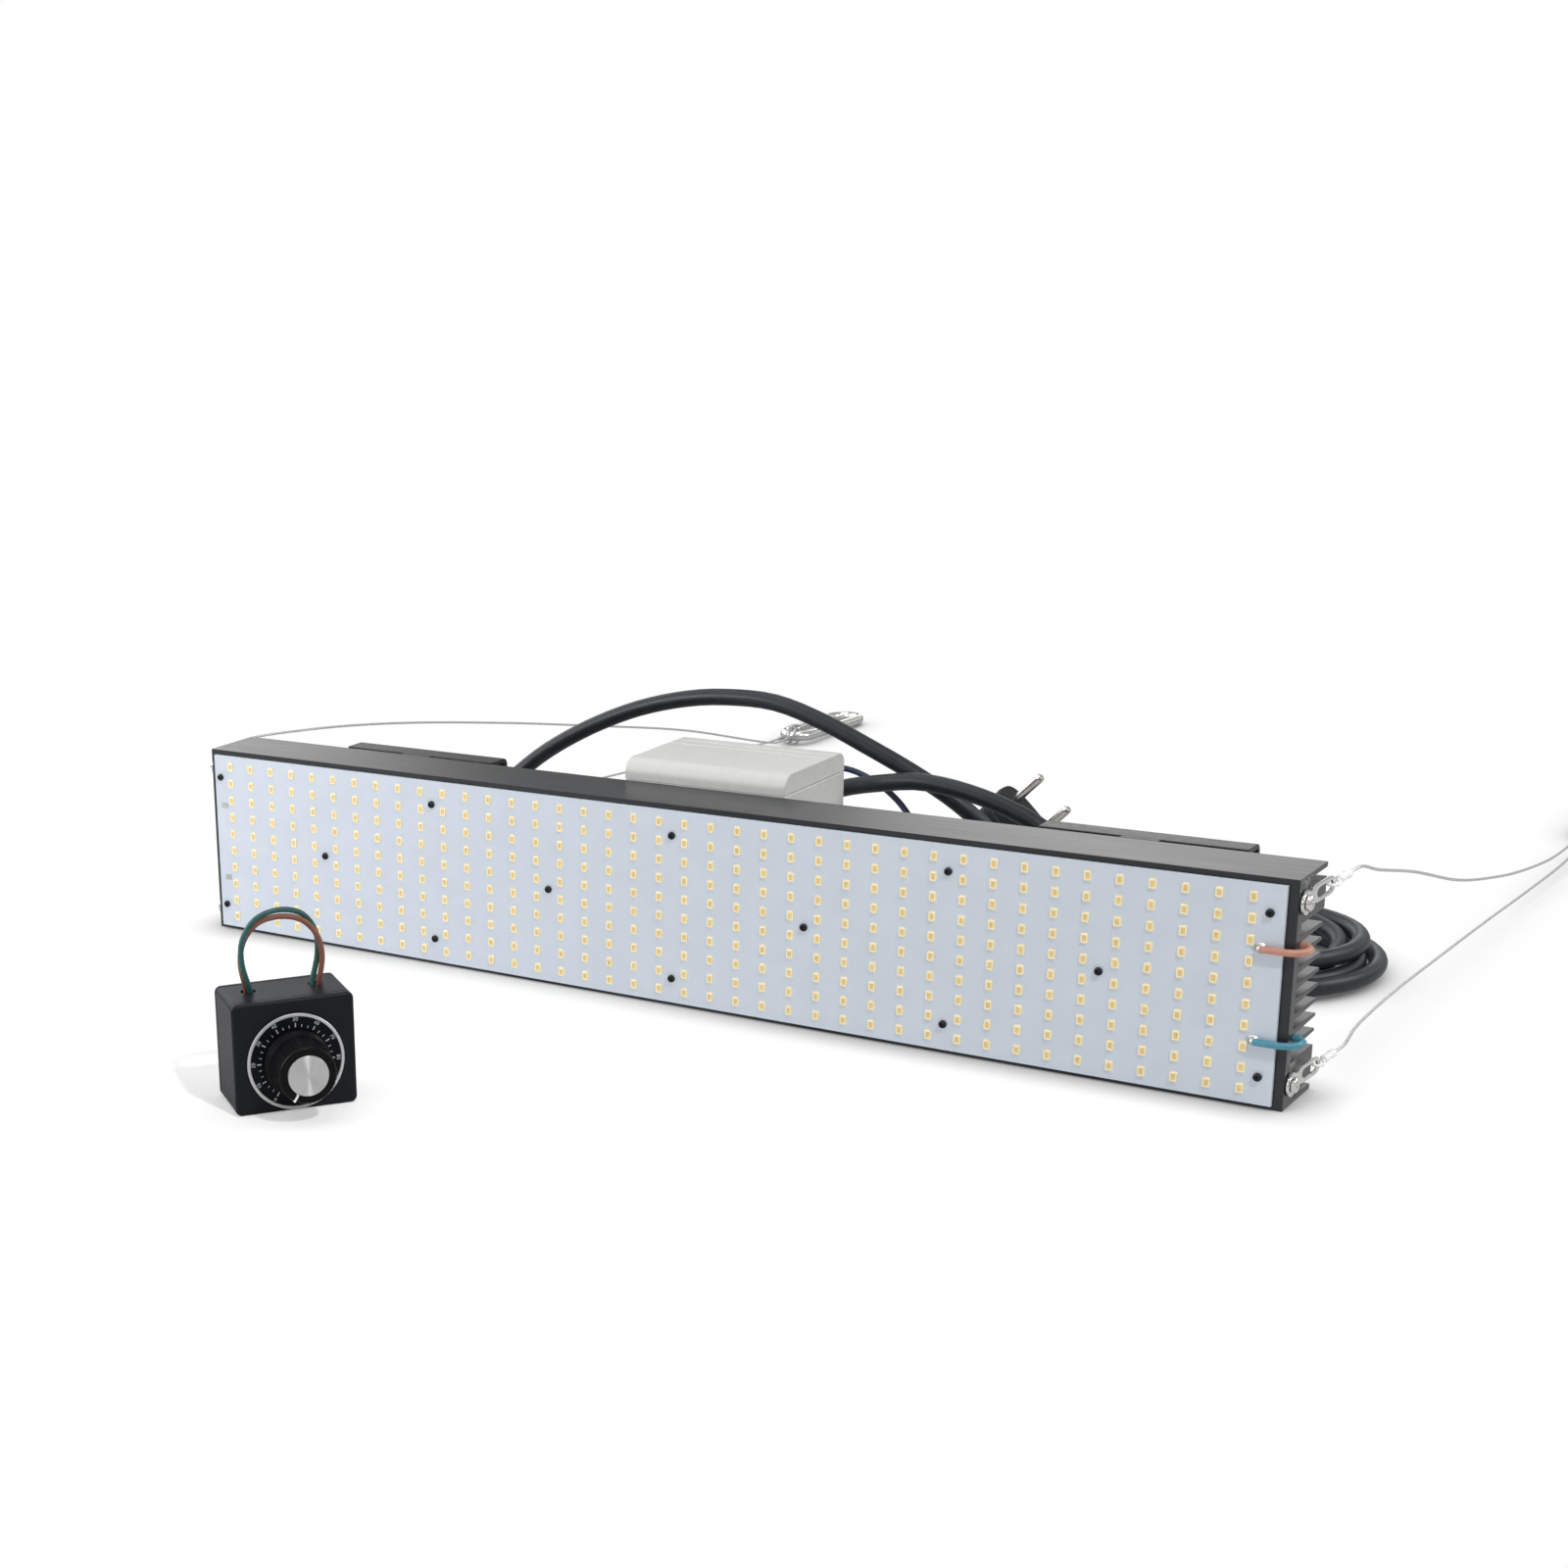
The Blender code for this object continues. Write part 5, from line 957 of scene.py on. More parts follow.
led_cream = finish("led_cream", (0.95, 0.84, 0.58), 0.42, 0.0, 0.03, 700.0)
led_phosphor = finish("led_phosphor", (0.80, 0.58, 0.22), 0.30, 0.0, 0.10, 500.0, coat=0.3)
led_bm = bmesh.new()
solder_bm = bmesh.new()
for column in range(LED_COLUMNS):
    for row in range(LED_ROWS):
        x = BOARD_X + (column - (LED_COLUMNS - 1) / 2) * LED_STEP_X
        z = SINK_TOP / 2 + (row - (LED_ROWS - 1) / 2) * LED_STEP_Z
        box_on_board(led_bm, x, z, 0.0014, 0.00175, 0.0008)
        box_on_board(solder_bm, x, z, 0.0011, 0.0021, 0.00025)
fronts = {vert for vert in led_bm.verts if vert.co.y < BOARD_FRONT - 0.0004}
soften(led_bm, 0.00018, 1, [edge for edge in led_bm.edges if set(edge.verts) & fronts])
led_bm.normal_update()
windows = [face for face in led_bm.faces if face.normal.y < -0.9]
bmesh.ops.inset_individual(led_bm, faces=windows, thickness=0.00042, depth=-0.00015, use_even_offset=True)
for face in windows:
    face.material_index = 1
piece("led_packages", led_bm, [led_cream, led_phosphor])
led_solder = finish("led_solder", (0.86, 0.78, 0.62), 0.35, 0.0, 0.10, 700.0)
piece("led_solder_strips", solder_bm, [led_solder])

# %% [markdown]
# Two leads are soldered at the right end of the board, and the same two pads stay bare at the left end.
# A pad is a thin tinned plate. A solder joint is a low dome over the stripped end of the lead. A squashed
# sphere would come close, but a turned profile also gives the dome its flared foot.

# %% Solder pads and joints
tinned = finish("tinned_copper", (0.62, 0.62, 0.60), 0.30, 1.0, 0.12, 600.0, bump=0.2)
pad_bm = bmesh.new()
for z in (POSITIVE_Z, NEGATIVE_Z):
    for x in (BOARD_X - 0.2385, BOARD_X + 0.2365):
        box_on_board(pad_bm, x, z, 0.0019, 0.0013, 0.00012)
soften(pad_bm, 0.00005, 1)
piece("solder_pads", pad_bm, [tinned])
joint_bm = bmesh.new()
dome = [
    (0, 0.0022), (0.0006, 0.00205), (0.0011, 0.0015), (0.0014, 0.0008), (0.00175, 0.0003), (0.0021, 0),
    (0, 0),
]
for z in (POSITIVE_Z, NEGATIVE_Z):
    turned(joint_bm, dome, 20, frame_of((0.23640, BOARD_FRONT - 0.0001, z), (0, -1, 0), UP))
piece("solder_joints", joint_bm, [tinned])

# %% [markdown]
# Fourteen small black screws hold the board, one bright screw holds each lug, and two hold the driver.
# All have a pan head with a cross recess. A boolean could cut the recess, but an outline in the head's
# flat top, bridged down to a smaller copy of itself, leaves a cleaner mesh.

# %% Screws


def circle_points(place, radius, height, steps):
    """A ring of points about the Z axis of its place."""
    return [place @ Vector((u, v, height)) for u, v in arc((0, 0), radius, 0, 360, steps)[:-1]]


def cross_points(place, reach, half, height):
    """The outline of a cross recess at one height."""
    quarter = [(reach, -half), (reach, half), (half, half)]
    turns = [Matrix.Rotation(math.radians(90 * i), 4, "Z") for i in range(4)]
    return [place @ turn @ Vector((u, v, height)) for turn in turns for u, v in quarter]


def ring_edges(bm, ring):
    """The edges between neighbours in a closed ring of vertices."""
    return [bm.edges.get(pair) for pair in zip(ring, ring[1:] + ring[:1])]


def pan_screw(bm, place, head, height, shank, length):
    """The head stands above zero on the Z axis of its place and the shank below it."""
    sides = [(0.50, 0.0), (0.50, 0.45), (0.47, 0.72), (0.41, 0.92), (0.35, 1.0)]
    rings = loft(bm, [circle_points(place, head * r, height * h, 24) for r, h in sides])
    recess = loft(bm, [
        cross_points(place, head * 0.25, head * 0.055, height),
        cross_points(place, head * 0.20, head * 0.040, height * 0.35),
    ])
    bm.faces.new(recess[-1])
    top = ring_edges(bm, rings[-1]) + ring_edges(bm, recess[0])
    bmesh.ops.triangle_fill(bm, use_beauty=True, use_dissolve=False, edges=top)
    stem = loft(bm, [circle_points(place, shank / 2, h, 24) for h in (0, -length)])
    bmesh.ops.bridge_loops(bm, edges=ring_edges(bm, rings[0]) + ring_edges(bm, stem[0]))
    bm.faces.new(stem[-1])


def board_screw_places():
    """Five screws along each long edge and four along the middle, between columns of LEDs."""
    rows = [(n, side * 0.0307) for side in (1, -1) for n in (-20, -10, 0, 10, 20)]
    rows += [(n, 0.0) for n in (-15, -5, 5, 15)]
    return [(BOARD_X + n * LED_STEP_X, SINK_TOP / 2 + z) for n, z in rows]


black_oxide = finish("black_oxide", (0.016, 0.017, 0.019), 0.38, 0.5, 0.2, 900.0)
chrome = finish("bright_chrome", (0.78, 0.77, 0.75), 0.20, 1.0, 0.06, 250.0, bump=0.05)
zinc = finish("zinc_plate", (0.55, 0.55, 0.54), 0.34, 1.0, 0.10, 400.0)
BOARD_SCREW, END_SCREW = (0.0032, 0.0011, 0.0022, 0.005), (0.0060, 0.0015, 0.0032, 0.009)
DRIVER_SCREW_HEIGHT = 0.0022
screw_bm = bmesh.new()
for x, z in board_screw_places():
    pan_screw(screw_bm, frame_of((x, BOARD_FRONT - 0.0003, z), (0, -1, 0), UP), *BOARD_SCREW)
piece("board_screws", screw_bm, [black_oxide], [f"board_screw_{n:02d}" for n in range(1, 15)])
screw_bm = bmesh.new()
for corner in CORNERS:
    pan_screw(screw_bm, lug_frame(corner) @ Matrix.Translation((0, 0, 0.0018)), *END_SCREW)
piece("end_screws", screw_bm, [chrome], [f"end_screw_{corner}" for corner in CORNERS])
screw_bm = bmesh.new()
for node in ("driver_screw_left", "driver_screw_right"):
    low, high = [Vector(corner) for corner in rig.box(node)]
    middle = (low + high) / 2
    head = frame_of((middle.x, high.y - DRIVER_SCREW_HEIGHT, middle.z), (0, 1, 0), UP)
    pan_screw(screw_bm, head, 0.0062, DRIVER_SCREW_HEIGHT, 0.0032, 0.009)
piece("driver_screws", screw_bm, [zinc], ["driver_screw_left", "driver_screw_right"])

# %% [markdown]
# A bright link lug sits under each end screw. It is a small stamped plate: a round end for the screw, a
# waist and a long slot. A sleeve with a wire loop goes through the slot and grips the hanging wire. The
# lug is drawn flat, because a bevel is simplest there, and then cut across and folded at its waist.

# %% Lugs and sleeves


def lug_outline():
    """A round end, a waist and a longer rounded end."""
    outline = arc((0, 0), 0.0046, 40, 320, 18) + [(0.0058, -0.0024), (0.0086, -0.0036)]
    return outline + arc((0.0166, 0), 0.0036, -90, 90, 14) + [(0.0086, 0.0036), (0.0058, 0.0024)]


def lug_holes():
    """The screw's hole and the slot."""
    slot = arc((0.0166, 0), 0.002, -90, 90, 8) + arc((0.0106, 0), 0.002, 90, 270, 8)
    return [arc((0, 0), 0.0019, 0, 360, 16)[:-1], slot]


def folded_lug(corner):
    """A flat lug, cut across at its waist and folded there."""
    bm = bmesh.new()
    slab(bm, lug_outline(), Matrix.Identity(4), 0.0003, 0.0015, lug_holes())
    soften(bm, 0.00035, 2)
    plate = bm.verts[:] + bm.edges[:] + bm.faces[:]
    bmesh.ops.bisect_plane(bm, geom=plate, dist=1e-6, plane_co=(LUG_WAIST, 0, 0), plane_no=(1, 0, 0))
    beyond = [vert for vert in bm.verts if vert.co.x > LUG_WAIST + 1e-6]
    flat = [vert for vert in bm.verts if vert.co.x <= LUG_WAIST + 1e-6]
    bmesh.ops.transform(bm, matrix=lug_tip(corner), verts=beyond)
    bmesh.ops.transform(bm, matrix=lug_frame(corner), verts=flat)
    return bm


for corner in CORNERS:
    piece(f"folded_lug_{corner}", folded_lug(corner), [chrome], [f"link_lug_{corner}"])

clear_sleeve = finish("clear_sleeve", (0.93, 0.93, 0.92), 0.30, 0.0, 0.04, 400.0)
SLEEVE = [(0, 0), (0.0011, 0), (0.0015, 0.0003), (0.0016, 0.0009), (0.0016, 0.0022), (0.00135, 0.0027),
          (0.00135, 0.0043), (0.0016, 0.0048), (0.0016, 0.0061), (0.0015, 0.0067), (0.0011, 0.007),
          (0, 0.007)]
for corner in CORNERS:
    place = lug_tip(corner)
    loop = [(u, LUG_MIDDLE + w) for u, w in arc((0.0194, 0), 0.0022, 320, 30, 20)]
    loop += [(0.0223, LUG_MIDDLE), (0.0229, LUG_MIDDLE)]
    guide = round_curve("sleeve_loop", [place @ Vector((u, 0, w)) for u, w in loop], WIRE, wire_steel, 3)
    sleeve_bm = mesh_of(guide)
    start = place @ Vector((SLEEVE_START, 0, LUG_MIDDLE))
    turned(sleeve_bm, SLEEVE, 20, frame_of(start, place.to_3x3() @ Vector((1, 0, 0)), UP))
    piece(f"wire_sleeve_{corner}", sleeve_bm, [clear_sleeve], [f"ferrule_{corner}"])

# %% [markdown]
# The snap hooks are bent from bright rod. One end is the narrow eye that holds the wires, the other the
# wide nose. A sprung gate closes the open side. It is a rod with a forked tail, and turns on a rivet
# through a flat tongue on the hook, so it rides on its own body. A curve with a round section follows a
# bent rod best, and it is made a mesh afterwards so that the tongue and rivet can join it.

# %% Snap hooks


def gate_line():
    """The gate's pivot and direction in the hook's plane, and the nose that it closes on."""
    start = Vector(((EYE_WIDTH - HOOK_ROD) / 2, (EYE_WIDTH - HOOK_ROD) / 2))
    end = Vector((HOOK_LENGTH - HOOK_ROD / 2 - HOOK_WIDTH / 2, (HOOK_WIDTH - HOOK_ROD) / 2))
    along = (end - start).normalized()
    return start + along * 0.007, along, end - along * 0.003


def hook_bmesh(place, pivot, along, nose):
    """The bent rod, from the nose round the bend and the eye to the gate's pivot."""
    eye, bend = (EYE_WIDTH - HOOK_ROD) / 2, (HOOK_WIDTH - HOOK_ROD) / 2
    path = [tuple(nose)] + arc((HOOK_LENGTH - HOOK_ROD - bend, 0), bend, 90, -90, 24)
    path += arc((eye, 0), eye, 270, 90, 22) + [tuple(pivot - along * 0.0042)]
    points = [place @ Vector((u, v, 0)) for u, v in path]
    return mesh_of(round_curve("hook_rod", points, HOOK_ROD, chrome, 6))


RIVET = [(0, -0.0034), (0.0009, -0.0033), (0.0015, -0.0029), (0.0015, -0.0028), (0.001, -0.0028),
         (0.001, 0.0028), (0.0015, 0.0028), (0.0015, 0.0029), (0.0009, 0.0033), (0, 0.0034)]
GATE_ROD = [(0, 0.0042), (0.0022, 0.0042), (0.0027, 0.0048), (0.0027, 0.0449), (0.0024, 0.0455),
            (0, 0.04574)]
gate_steel = finish("gate_steel", (0.68, 0.68, 0.69), 0.20, 1.0, 0.08, 300.0, bump=0.05)
for side in ("left", "right"):
    place = hook_frame(side)
    pivot, along, nose = gate_line()
    hook_bm = hook_bmesh(place, pivot, along, nose)
    hinge = place @ Matrix.Translation((*pivot, 0)) @ Matrix.Rotation(math.atan2(along.y, along.x), 4, "Z")
    tongue = [(-0.006, -0.0024), (0, -0.0024)] + arc((0, 0), 0.0024, -90, 90, 10) + [(-0.006, 0.0024)]
    slab(hook_bm, tongue, hinge, -0.001, 0.001)
    turned(hook_bm, RIVET, 20, hinge)
    piece(f"hook_{side}", hook_bm, [chrome], [f"snap_hook_{side}"])
    gate_bm = bmesh.new()
    turned(gate_bm, GATE_ROD, 24, hinge @ Matrix.Rotation(math.radians(90), 4, "Y"))
    cheek = arc((0, 0), 0.0024, 90, 270, 12) + [(0.0062, -0.0022), (0.0062, 0.0022)]
    for low, high in ((-0.0027, -0.0013), (0.0013, 0.0027)):
        slab(gate_bm, cheek, hinge, low, high)
    piece(f"hook_gate_{side}", gate_bm, [gate_steel], [f"snap_gate_{side}"], f"gate_{side}")

# %% [markdown]
# Where a wire loops round the hook's eye, a pressed crimp holds the loop shut. The real one is pinched
# flat. At this size a short turned sleeve with two narrow waists looks the same.

# %% Crimps
CRIMP = [(0, 0), (0.0009, 0), (0.0011, 0.0004), (0.0011, 0.002), (0.0009, 0.0026), (0.0009, 0.0032),
         (0.0011, 0.0038), (0.0011, 0.0046), (0.0009, 0.0052), (0.0009, 0.0058), (0.0011, 0.0064),
         (0.0011, 0.0076), (0.0009, 0.008), (0, 0.008)]
WIRE_PIECES = {}
for corner in CORNERS:
    side = corner.split("_")[0]
    place = hook_frame(side)
    start = place @ Vector((eye_bar(corner) - EYE_LOOP - 0.009, wire_offset(corner), 0))
    crimp_bm = bmesh.new()
    turned(crimp_bm, CRIMP, 18, frame_of(start, place.to_3x3() @ Vector((1, 0, 0)), UP))
    WIRE_PIECES[corner] = [piece(f"crimp_{corner}", crimp_bm, [zinc])]

# %% [markdown]
# Two black sheet brackets clip on behind the panel. Each is a U of 2 mm sheet with round bends. A short
# tongue at the top and bottom goes into the wedge slot beside each flange. A flat strip could be bent and
# thickened, but one outline pulled along X keeps the sheet equally thick round the bends.

# %% Rear brackets


def bracket_outline():
    """The U section, with round bends."""
    near, far, top, sheet, bend = 0.0175, 0.0300, SINK_TOP, 0.002, 0.003
    outer = [(near, 0)] + arc((far - bend, bend), bend, -90, 0, 8)
    outer += arc((far - bend, top - bend), bend, 0, 90, 8) + [(near, top)]
    inner = [(near, top - sheet)] + arc((far - bend, top - bend), bend - sheet, 90, 0, 8)
    return outer + inner + arc((far - bend, bend), bend - sheet, 0, -90, 8) + [(near, sheet)]


def tongue_outline(mirrored):
    """The step from the U into the slot beside the upper flange, or its mirror image at the lower one."""
    top, under = SINK_TOP - 0.00005, 0.0841
    line = [(0.0195, top), (0.0152, top), (0.0152, under), (0.0083, under), (0.0083, under - 0.0015),
            (0.0175, under - 0.0015), (0.0195, SINK_TOP - 0.002)]
    return [(y, SINK_TOP - z) for y, z in line] if mirrored else line


black_paint = finish("black_paint", (0.014, 0.016, 0.018), 0.36, 0.0, 0.12, 300.0, shine=0.4)
for side in ("left", "right"):
    low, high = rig.box(f"rear_bracket_{side}")
    place = Matrix.Translation(((low[0] + high[0]) / 2, 0, 0)) @ ALONG_X
    bracket_bm = bmesh.new()
    slab(bracket_bm, bracket_outline(), place, -0.040, 0.040)
    for mirrored in (False, True):
        slab(bracket_bm, tongue_outline(mirrored), place, -0.0075, 0.0075)
    soften(bracket_bm, 0.0004, 2)
    piece(f"sheet_bracket_{side}", bracket_bm, [black_paint], [f"rear_bracket_{side}"])

# %% [markdown]
# The driver is a pale plastic case behind the panel: a box with a rounded top, whose lid and base meet in
# a thin seam. The lid has two shallow lengthwise grooves. The end faces are inset a little, which leaves
# a thin lip round them, and two ears take the screws. Each half is one outline pulled along X, so that
# the rounding and the grooves need no modelling of their own.

# %% Driver
DRIVER_X = (-0.04265, 0.03285)
DRIVER_FRONT, DRIVER_TOP, DRIVER_SEAM, DRIVER_LOW = 0.0152, 0.0955, 0.0869, 0.0582
EAR_LOW, EAR_HIGH, EAR_SCREW_Z, EAR_BACK = 0.0692, 0.0782, 0.0737, 0.0182


def lid_outline():
    """The lid's section: two rounded edges and two grooves."""
    back_round, front_round, groove_depth = 0.005, 0.0065, 0.0003
    back = arc((DRIVER_BACK - back_round, DRIVER_TOP - back_round), back_round, 0, 90, 8)
    grooves = []
    for y in (0.0585, 0.0520):
        grooves += [(y + 0.0007, DRIVER_TOP), (y + 0.0003, DRIVER_TOP - groove_depth),
                    (y - 0.0003, DRIVER_TOP - groove_depth), (y - 0.0007, DRIVER_TOP)]
    front = arc((DRIVER_FRONT + front_round, DRIVER_TOP - front_round), front_round, 90, 180, 10)
    return [(DRIVER_BACK, DRIVER_SEAM)] + back + grooves + front + [(DRIVER_FRONT, DRIVER_SEAM)]


def base_outline():
    """The base's section, a hair below the seam."""
    high = DRIVER_SEAM - 0.0003
    return [(DRIVER_FRONT, DRIVER_LOW), (DRIVER_BACK, DRIVER_LOW), (DRIVER_BACK, high), (DRIVER_FRONT, high)]


def case_half(bm, outline):
    """One half of the case, with rounded end edges and a lip round each end face."""
    slab(bm, outline, ALONG_X, *DRIVER_X)
    bmesh.ops.recalc_face_normals(bm, faces=bm.faces[:])
    ends = [face for face in bm.faces if abs(face.normal.x) > 0.9]
    rims = {edge for face in ends for edge in face.edges}
    soften(bm, 0.0006, 3, list(rims))
    bm.normal_update()
    ends = [face for face in bm.faces if abs(face.normal.x) > 0.99]
    bmesh.ops.inset_individual(bm, faces=ends, thickness=0.0009, depth=-0.0003, use_even_offset=True)


def rounded_outline(low, high, radius, steps=6):
    """A rectangle with round corners."""
    (x0, z0), (x1, z1) = low, high
    corners = [((x1 - radius, z1 - radius), 0), ((x0 + radius, z1 - radius), 90),
               ((x0 + radius, z0 + radius), 180), ((x1 - radius, z0 + radius), 270)]
    return [point for centre, turn in corners for point in arc(centre, radius, turn, turn + 90, steps)]


FROM_FRONT = Matrix(((1, 0, 0, 0), (0, 0, 1, 0), (0, 1, 0, 0), (0, 0, 0, 1)))
driver_grey = finish("driver_grey", (0.66, 0.66, 0.64), 0.46, 0.0, 0.03, 260.0, bump=0.12)
lid_bm = bmesh.new()
case_half(lid_bm, lid_outline())
piece("driver_lid", lid_bm, [driver_grey], ["driver_cover"])
base_bm = bmesh.new()
case_half(base_bm, base_outline())
for screw, low, high in ((-0.04715, -0.05165, -0.0418), (0.03735, 0.0320, 0.04185)):
    hole = arc((screw, EAR_SCREW_Z), 0.0019, 0, 360, 16)[:-1]
    ear = rounded_outline((low, EAR_LOW), (high, EAR_HIGH), 0.0015)
    slab(base_bm, ear, FROM_FRONT, DRIVER_FRONT, EAR_BACK, [hole])
piece("driver_case", base_bm, [driver_grey], ["driver_base"])

# %% [markdown]
# A tapered rubber gland protects the lead where it leaves the driver. Its rings are a zigzag in the
# profile that is turned. The coil is held by a nylon tie: a flat band with a square head on top and a
# short cut tail.

# %% Gland and tie
gland = [(0, 0), (0.0055, 0), (0.00575, 0.0003), (0.00575, 0.0033), (0.0055, 0.0036)]
for i in range(7):
    h, r = 0.0036 + i * 0.0029, 0.0053 - i * 0.00013
    gland += [(r - 0.0007, h + 0.0002), (r - 0.0007, h + 0.0010), (r, h + 0.0013), (r, h + 0.0026)]
gland += [(0.0044, 0.0239), (0.0041, 0.024), (0, 0.024)]
gland_bm = bmesh.new()
turned(gland_bm, gland, 32, frame_of((DRIVER_X[0] - 0.0003, 0.0285, 0.0645), (-1, 0, 0), UP))
gland_rubber = finish("gland_rubber", (0.016, 0.018, 0.020), 0.55, 0.0, 0.15, 500.0, bump=0.2, shine=0.3)
piece("ribbed_gland", gland_bm, [gland_rubber], ["cable_gland"])

tie_low, tie_high = [Vector(corner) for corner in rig.box("coil_tie")]
tie_black = finish("tie_black", (0.022, 0.023, 0.025), 0.45, 0.0, 0.12, 500.0)
tie_bm = bmesh.new()
BAND = 0.0012
band = rounded_outline((tie_low.y, tie_low.z), (tie_high.y, tie_high.z), 0.0026)
inside_low, inside_high = (tie_low.y + BAND, tie_low.z + BAND), (tie_high.y - BAND, tie_high.z - BAND)
inside = rounded_outline(inside_low, inside_high, 0.0014)
slab(tie_bm, band, ALONG_X, tie_low.x, tie_high.x, [inside])
tie_head = Vector(((tie_low.x + tie_high.x) / 2, tie_high.y - 0.006, tie_high.z))
HEAD_BOX = ((-0.0034, -0.0030, -0.0002), (0.0034, 0.0030, 0.0030))
TAIL_BOX = ((-0.0022, 0.0024, 0.0006), (0.0022, 0.0085, 0.0017))
for low, high in (HEAD_BOX, TAIL_BOX):
    add_box(tie_bm, tie_head + Vector(low), tie_head + Vector(high))
soften(tie_bm, 0.0003, 2)
coil_tie = piece("nylon_tie", tie_bm, [tie_black], ["coil_tie"])

# %% [markdown]
# The plug is one rubber moulding: a flat rounded body, three grip grooves across it, and a ribbed relief
# that runs out on to the lead. A bevelled box would stay too square, so the plug is a row of rounded
# outlines, each bridged to the next. The two round pins are turned.

# %% Plug and pins


def plug_station(width, thickness, height, place):
    """A soft-cornered outline across the plug at one height."""
    points = []
    for i in range(40):
        c, s = math.cos(math.tau * (i + 0.5) / 40), math.sin(math.tau * (i + 0.5) / 40)
        u = math.copysign(abs(c) ** 0.6, c) * width / 2
        points.append(place @ Vector((u, math.copysign(abs(s) ** 0.6, s) * thickness / 2, height)))
    return points


def plug_stations():
    """Width, thickness and height of each station, from the nose over the grooves to the relief's end."""
    stations = [(0.0325, 0.0136, 0), (0.0344, 0.0152, -0.0006), (0.0353, 0.0160, -0.0021)]
    for h in (-0.008, -0.0115, -0.015):
        w = 0.0353 - 0.0014 * (-h / 0.015)
        stations += [
            (w, 0.016, h + 0.0008), (w - 0.0012, 0.0148, h + 0.0003), (w - 0.0012, 0.0148, h - 0.0003),
            (w - 0.0001, 0.016, h - 0.0008),
        ]
    stations += [
        (0.0310, 0.0158, -0.0205), (0.0254, 0.0152, -0.0255), (0.0175, 0.0135, -0.0285),
        (0.0128, 0.0119, -0.0300),
    ]
    for i in range(6):
        h, w = -0.0304 - i * 0.0032, 0.0122 - i * 0.0006
        thick, groove = w * 0.96, 0.0014
        stations += [(w, thick, h), (w, thick, h - 0.0018)]
        stations += [(w - groove, thick - groove, h - 0.0022), (w - groove, thick - groove, h - 0.0030)]
    return stations + [(0.0088, 0.0088, -0.0497), (0.0084, 0.0084, -0.050)]


plug_place = frame_of(PLUG_NOSE, PLUG_AXIS, PLUG_ACROSS)
plug_rubber = finish("plug_rubber", (0.013, 0.015, 0.017), 0.44, 0.0, 0.14, 350.0, bump=0.18, shine=0.3)
plug_bm = bmesh.new()
plug_rings = loft(plug_bm, [plug_station(*station, plug_place) for station in plug_stations()])
plug_bm.faces.new(plug_rings[0])
plug_bm.faces.new(plug_rings[-1])
plug = piece("moulded_plug", plug_bm, [plug_rubber], ["plug_body"], crease=50)
nickel = finish("nickel_pin", (0.70, 0.68, 0.63), 0.22, 1.0, 0.08, 300.0, bump=0.05)
PIN = [(0, -0.004), (0.002, -0.004), (0.002, 0.0172), (0.0018, 0.0182), (0.0012, 0.0188), (0, 0.019)]
MAINS_PIECES = [plug, coil_tie]
PIN_APART = 0.0093
for number, across in ((1, -PIN_APART), (2, PIN_APART)):
    pin_bm = bmesh.new()
    turned(pin_bm, PIN, 24, plug_place @ Matrix.Translation((across, 0, 0)))
    MAINS_PIECES.append(piece(f"round_pin_{number}", pin_bm, [nickel], [f"plug_pin_{number}"]))

# %% [markdown]
# The dimmer is a small moulded box. A front cover with rounded edges meets the body in a fine groove,
# and a flat plate closes the back. The top has two round wells for the wires. They could be cut with a
# boolean, but filling the top face again with two rings left open keeps every edge in place.

# %% Dimmer case
DIMMER_FRONT = DIMMER @ FROM_FRONT


def rim_edges(bm, depth):
    """The edges that lie in one plane across the dimmer's depth."""
    back = DIMMER.inverted()
    level = {vert for vert in bm.verts if abs((back @ vert.co).y - depth) < 1e-5}
    return [edge for edge in bm.edges if set(edge.verts) <= level]


def sink_wells(bm):
    """Two round wells in the flat top."""
    bmesh.ops.recalc_face_normals(bm, faces=bm.faces[:])
    top = max((face for face in bm.faces if face.normal.z > 0.99), key=lambda face: face.calc_area())
    edges = list(top.edges)
    bm.faces.remove(top)
    for side in (-1, 1):
        mouth = DIMMER @ Matrix.Translation((side * HOLE_X, HOLE_Y, DIMMER_TOP))
        rings = loft(bm, [circle_points(mouth, 0.003, h, 24) for h in (0, -0.006)])
        bm.faces.new(rings[-1])
        edges += ring_edges(bm, rings[0])
    bmesh.ops.triangle_fill(bm, use_beauty=True, use_dissolve=False, edges=edges)


DIMMER_HALF, COVER_DEPTH = 0.0240, 0.0031
dimmer_black = finish("dimmer_black", (0.009, 0.0105, 0.0135), 0.42, 0.0, 0.15, 900.0, bump=0.25, shine=0.15)
case_bm = bmesh.new()
body_outline = rounded_outline((-0.0239, 0.0001), (0.0239, DIMMER_TOP), 0.0025)
slab(case_bm, body_outline, DIMMER_FRONT, 0.0033, 0.0254)
sink_wells(case_bm)
cover_outline = rounded_outline((-DIMMER_HALF, 0), (DIMMER_HALF, DIMMER_TOP), 0.0026, 8)
slab(case_bm, cover_outline, DIMMER_FRONT, 0, COVER_DEPTH)
soften(case_bm, 0.0013, 4, rim_edges(case_bm, 0))
soften(case_bm, 0.0003, 2, rim_edges(case_bm, COVER_DEPTH))
piece("dimmer_box", case_bm, [dimmer_black], ["dimmer_case"])
back_bm = bmesh.new()
back_outline = rounded_outline((-DIMMER_HALF, 0), (DIMMER_HALF, DIMMER_TOP), 0.0025)
slab(back_bm, back_outline, DIMMER_FRONT, 0.0257, 0.0281)
soften(back_bm, 0.0007, 3)
piece("dimmer_back_plate", back_bm, [dimmer_black], ["dimmer_back"])

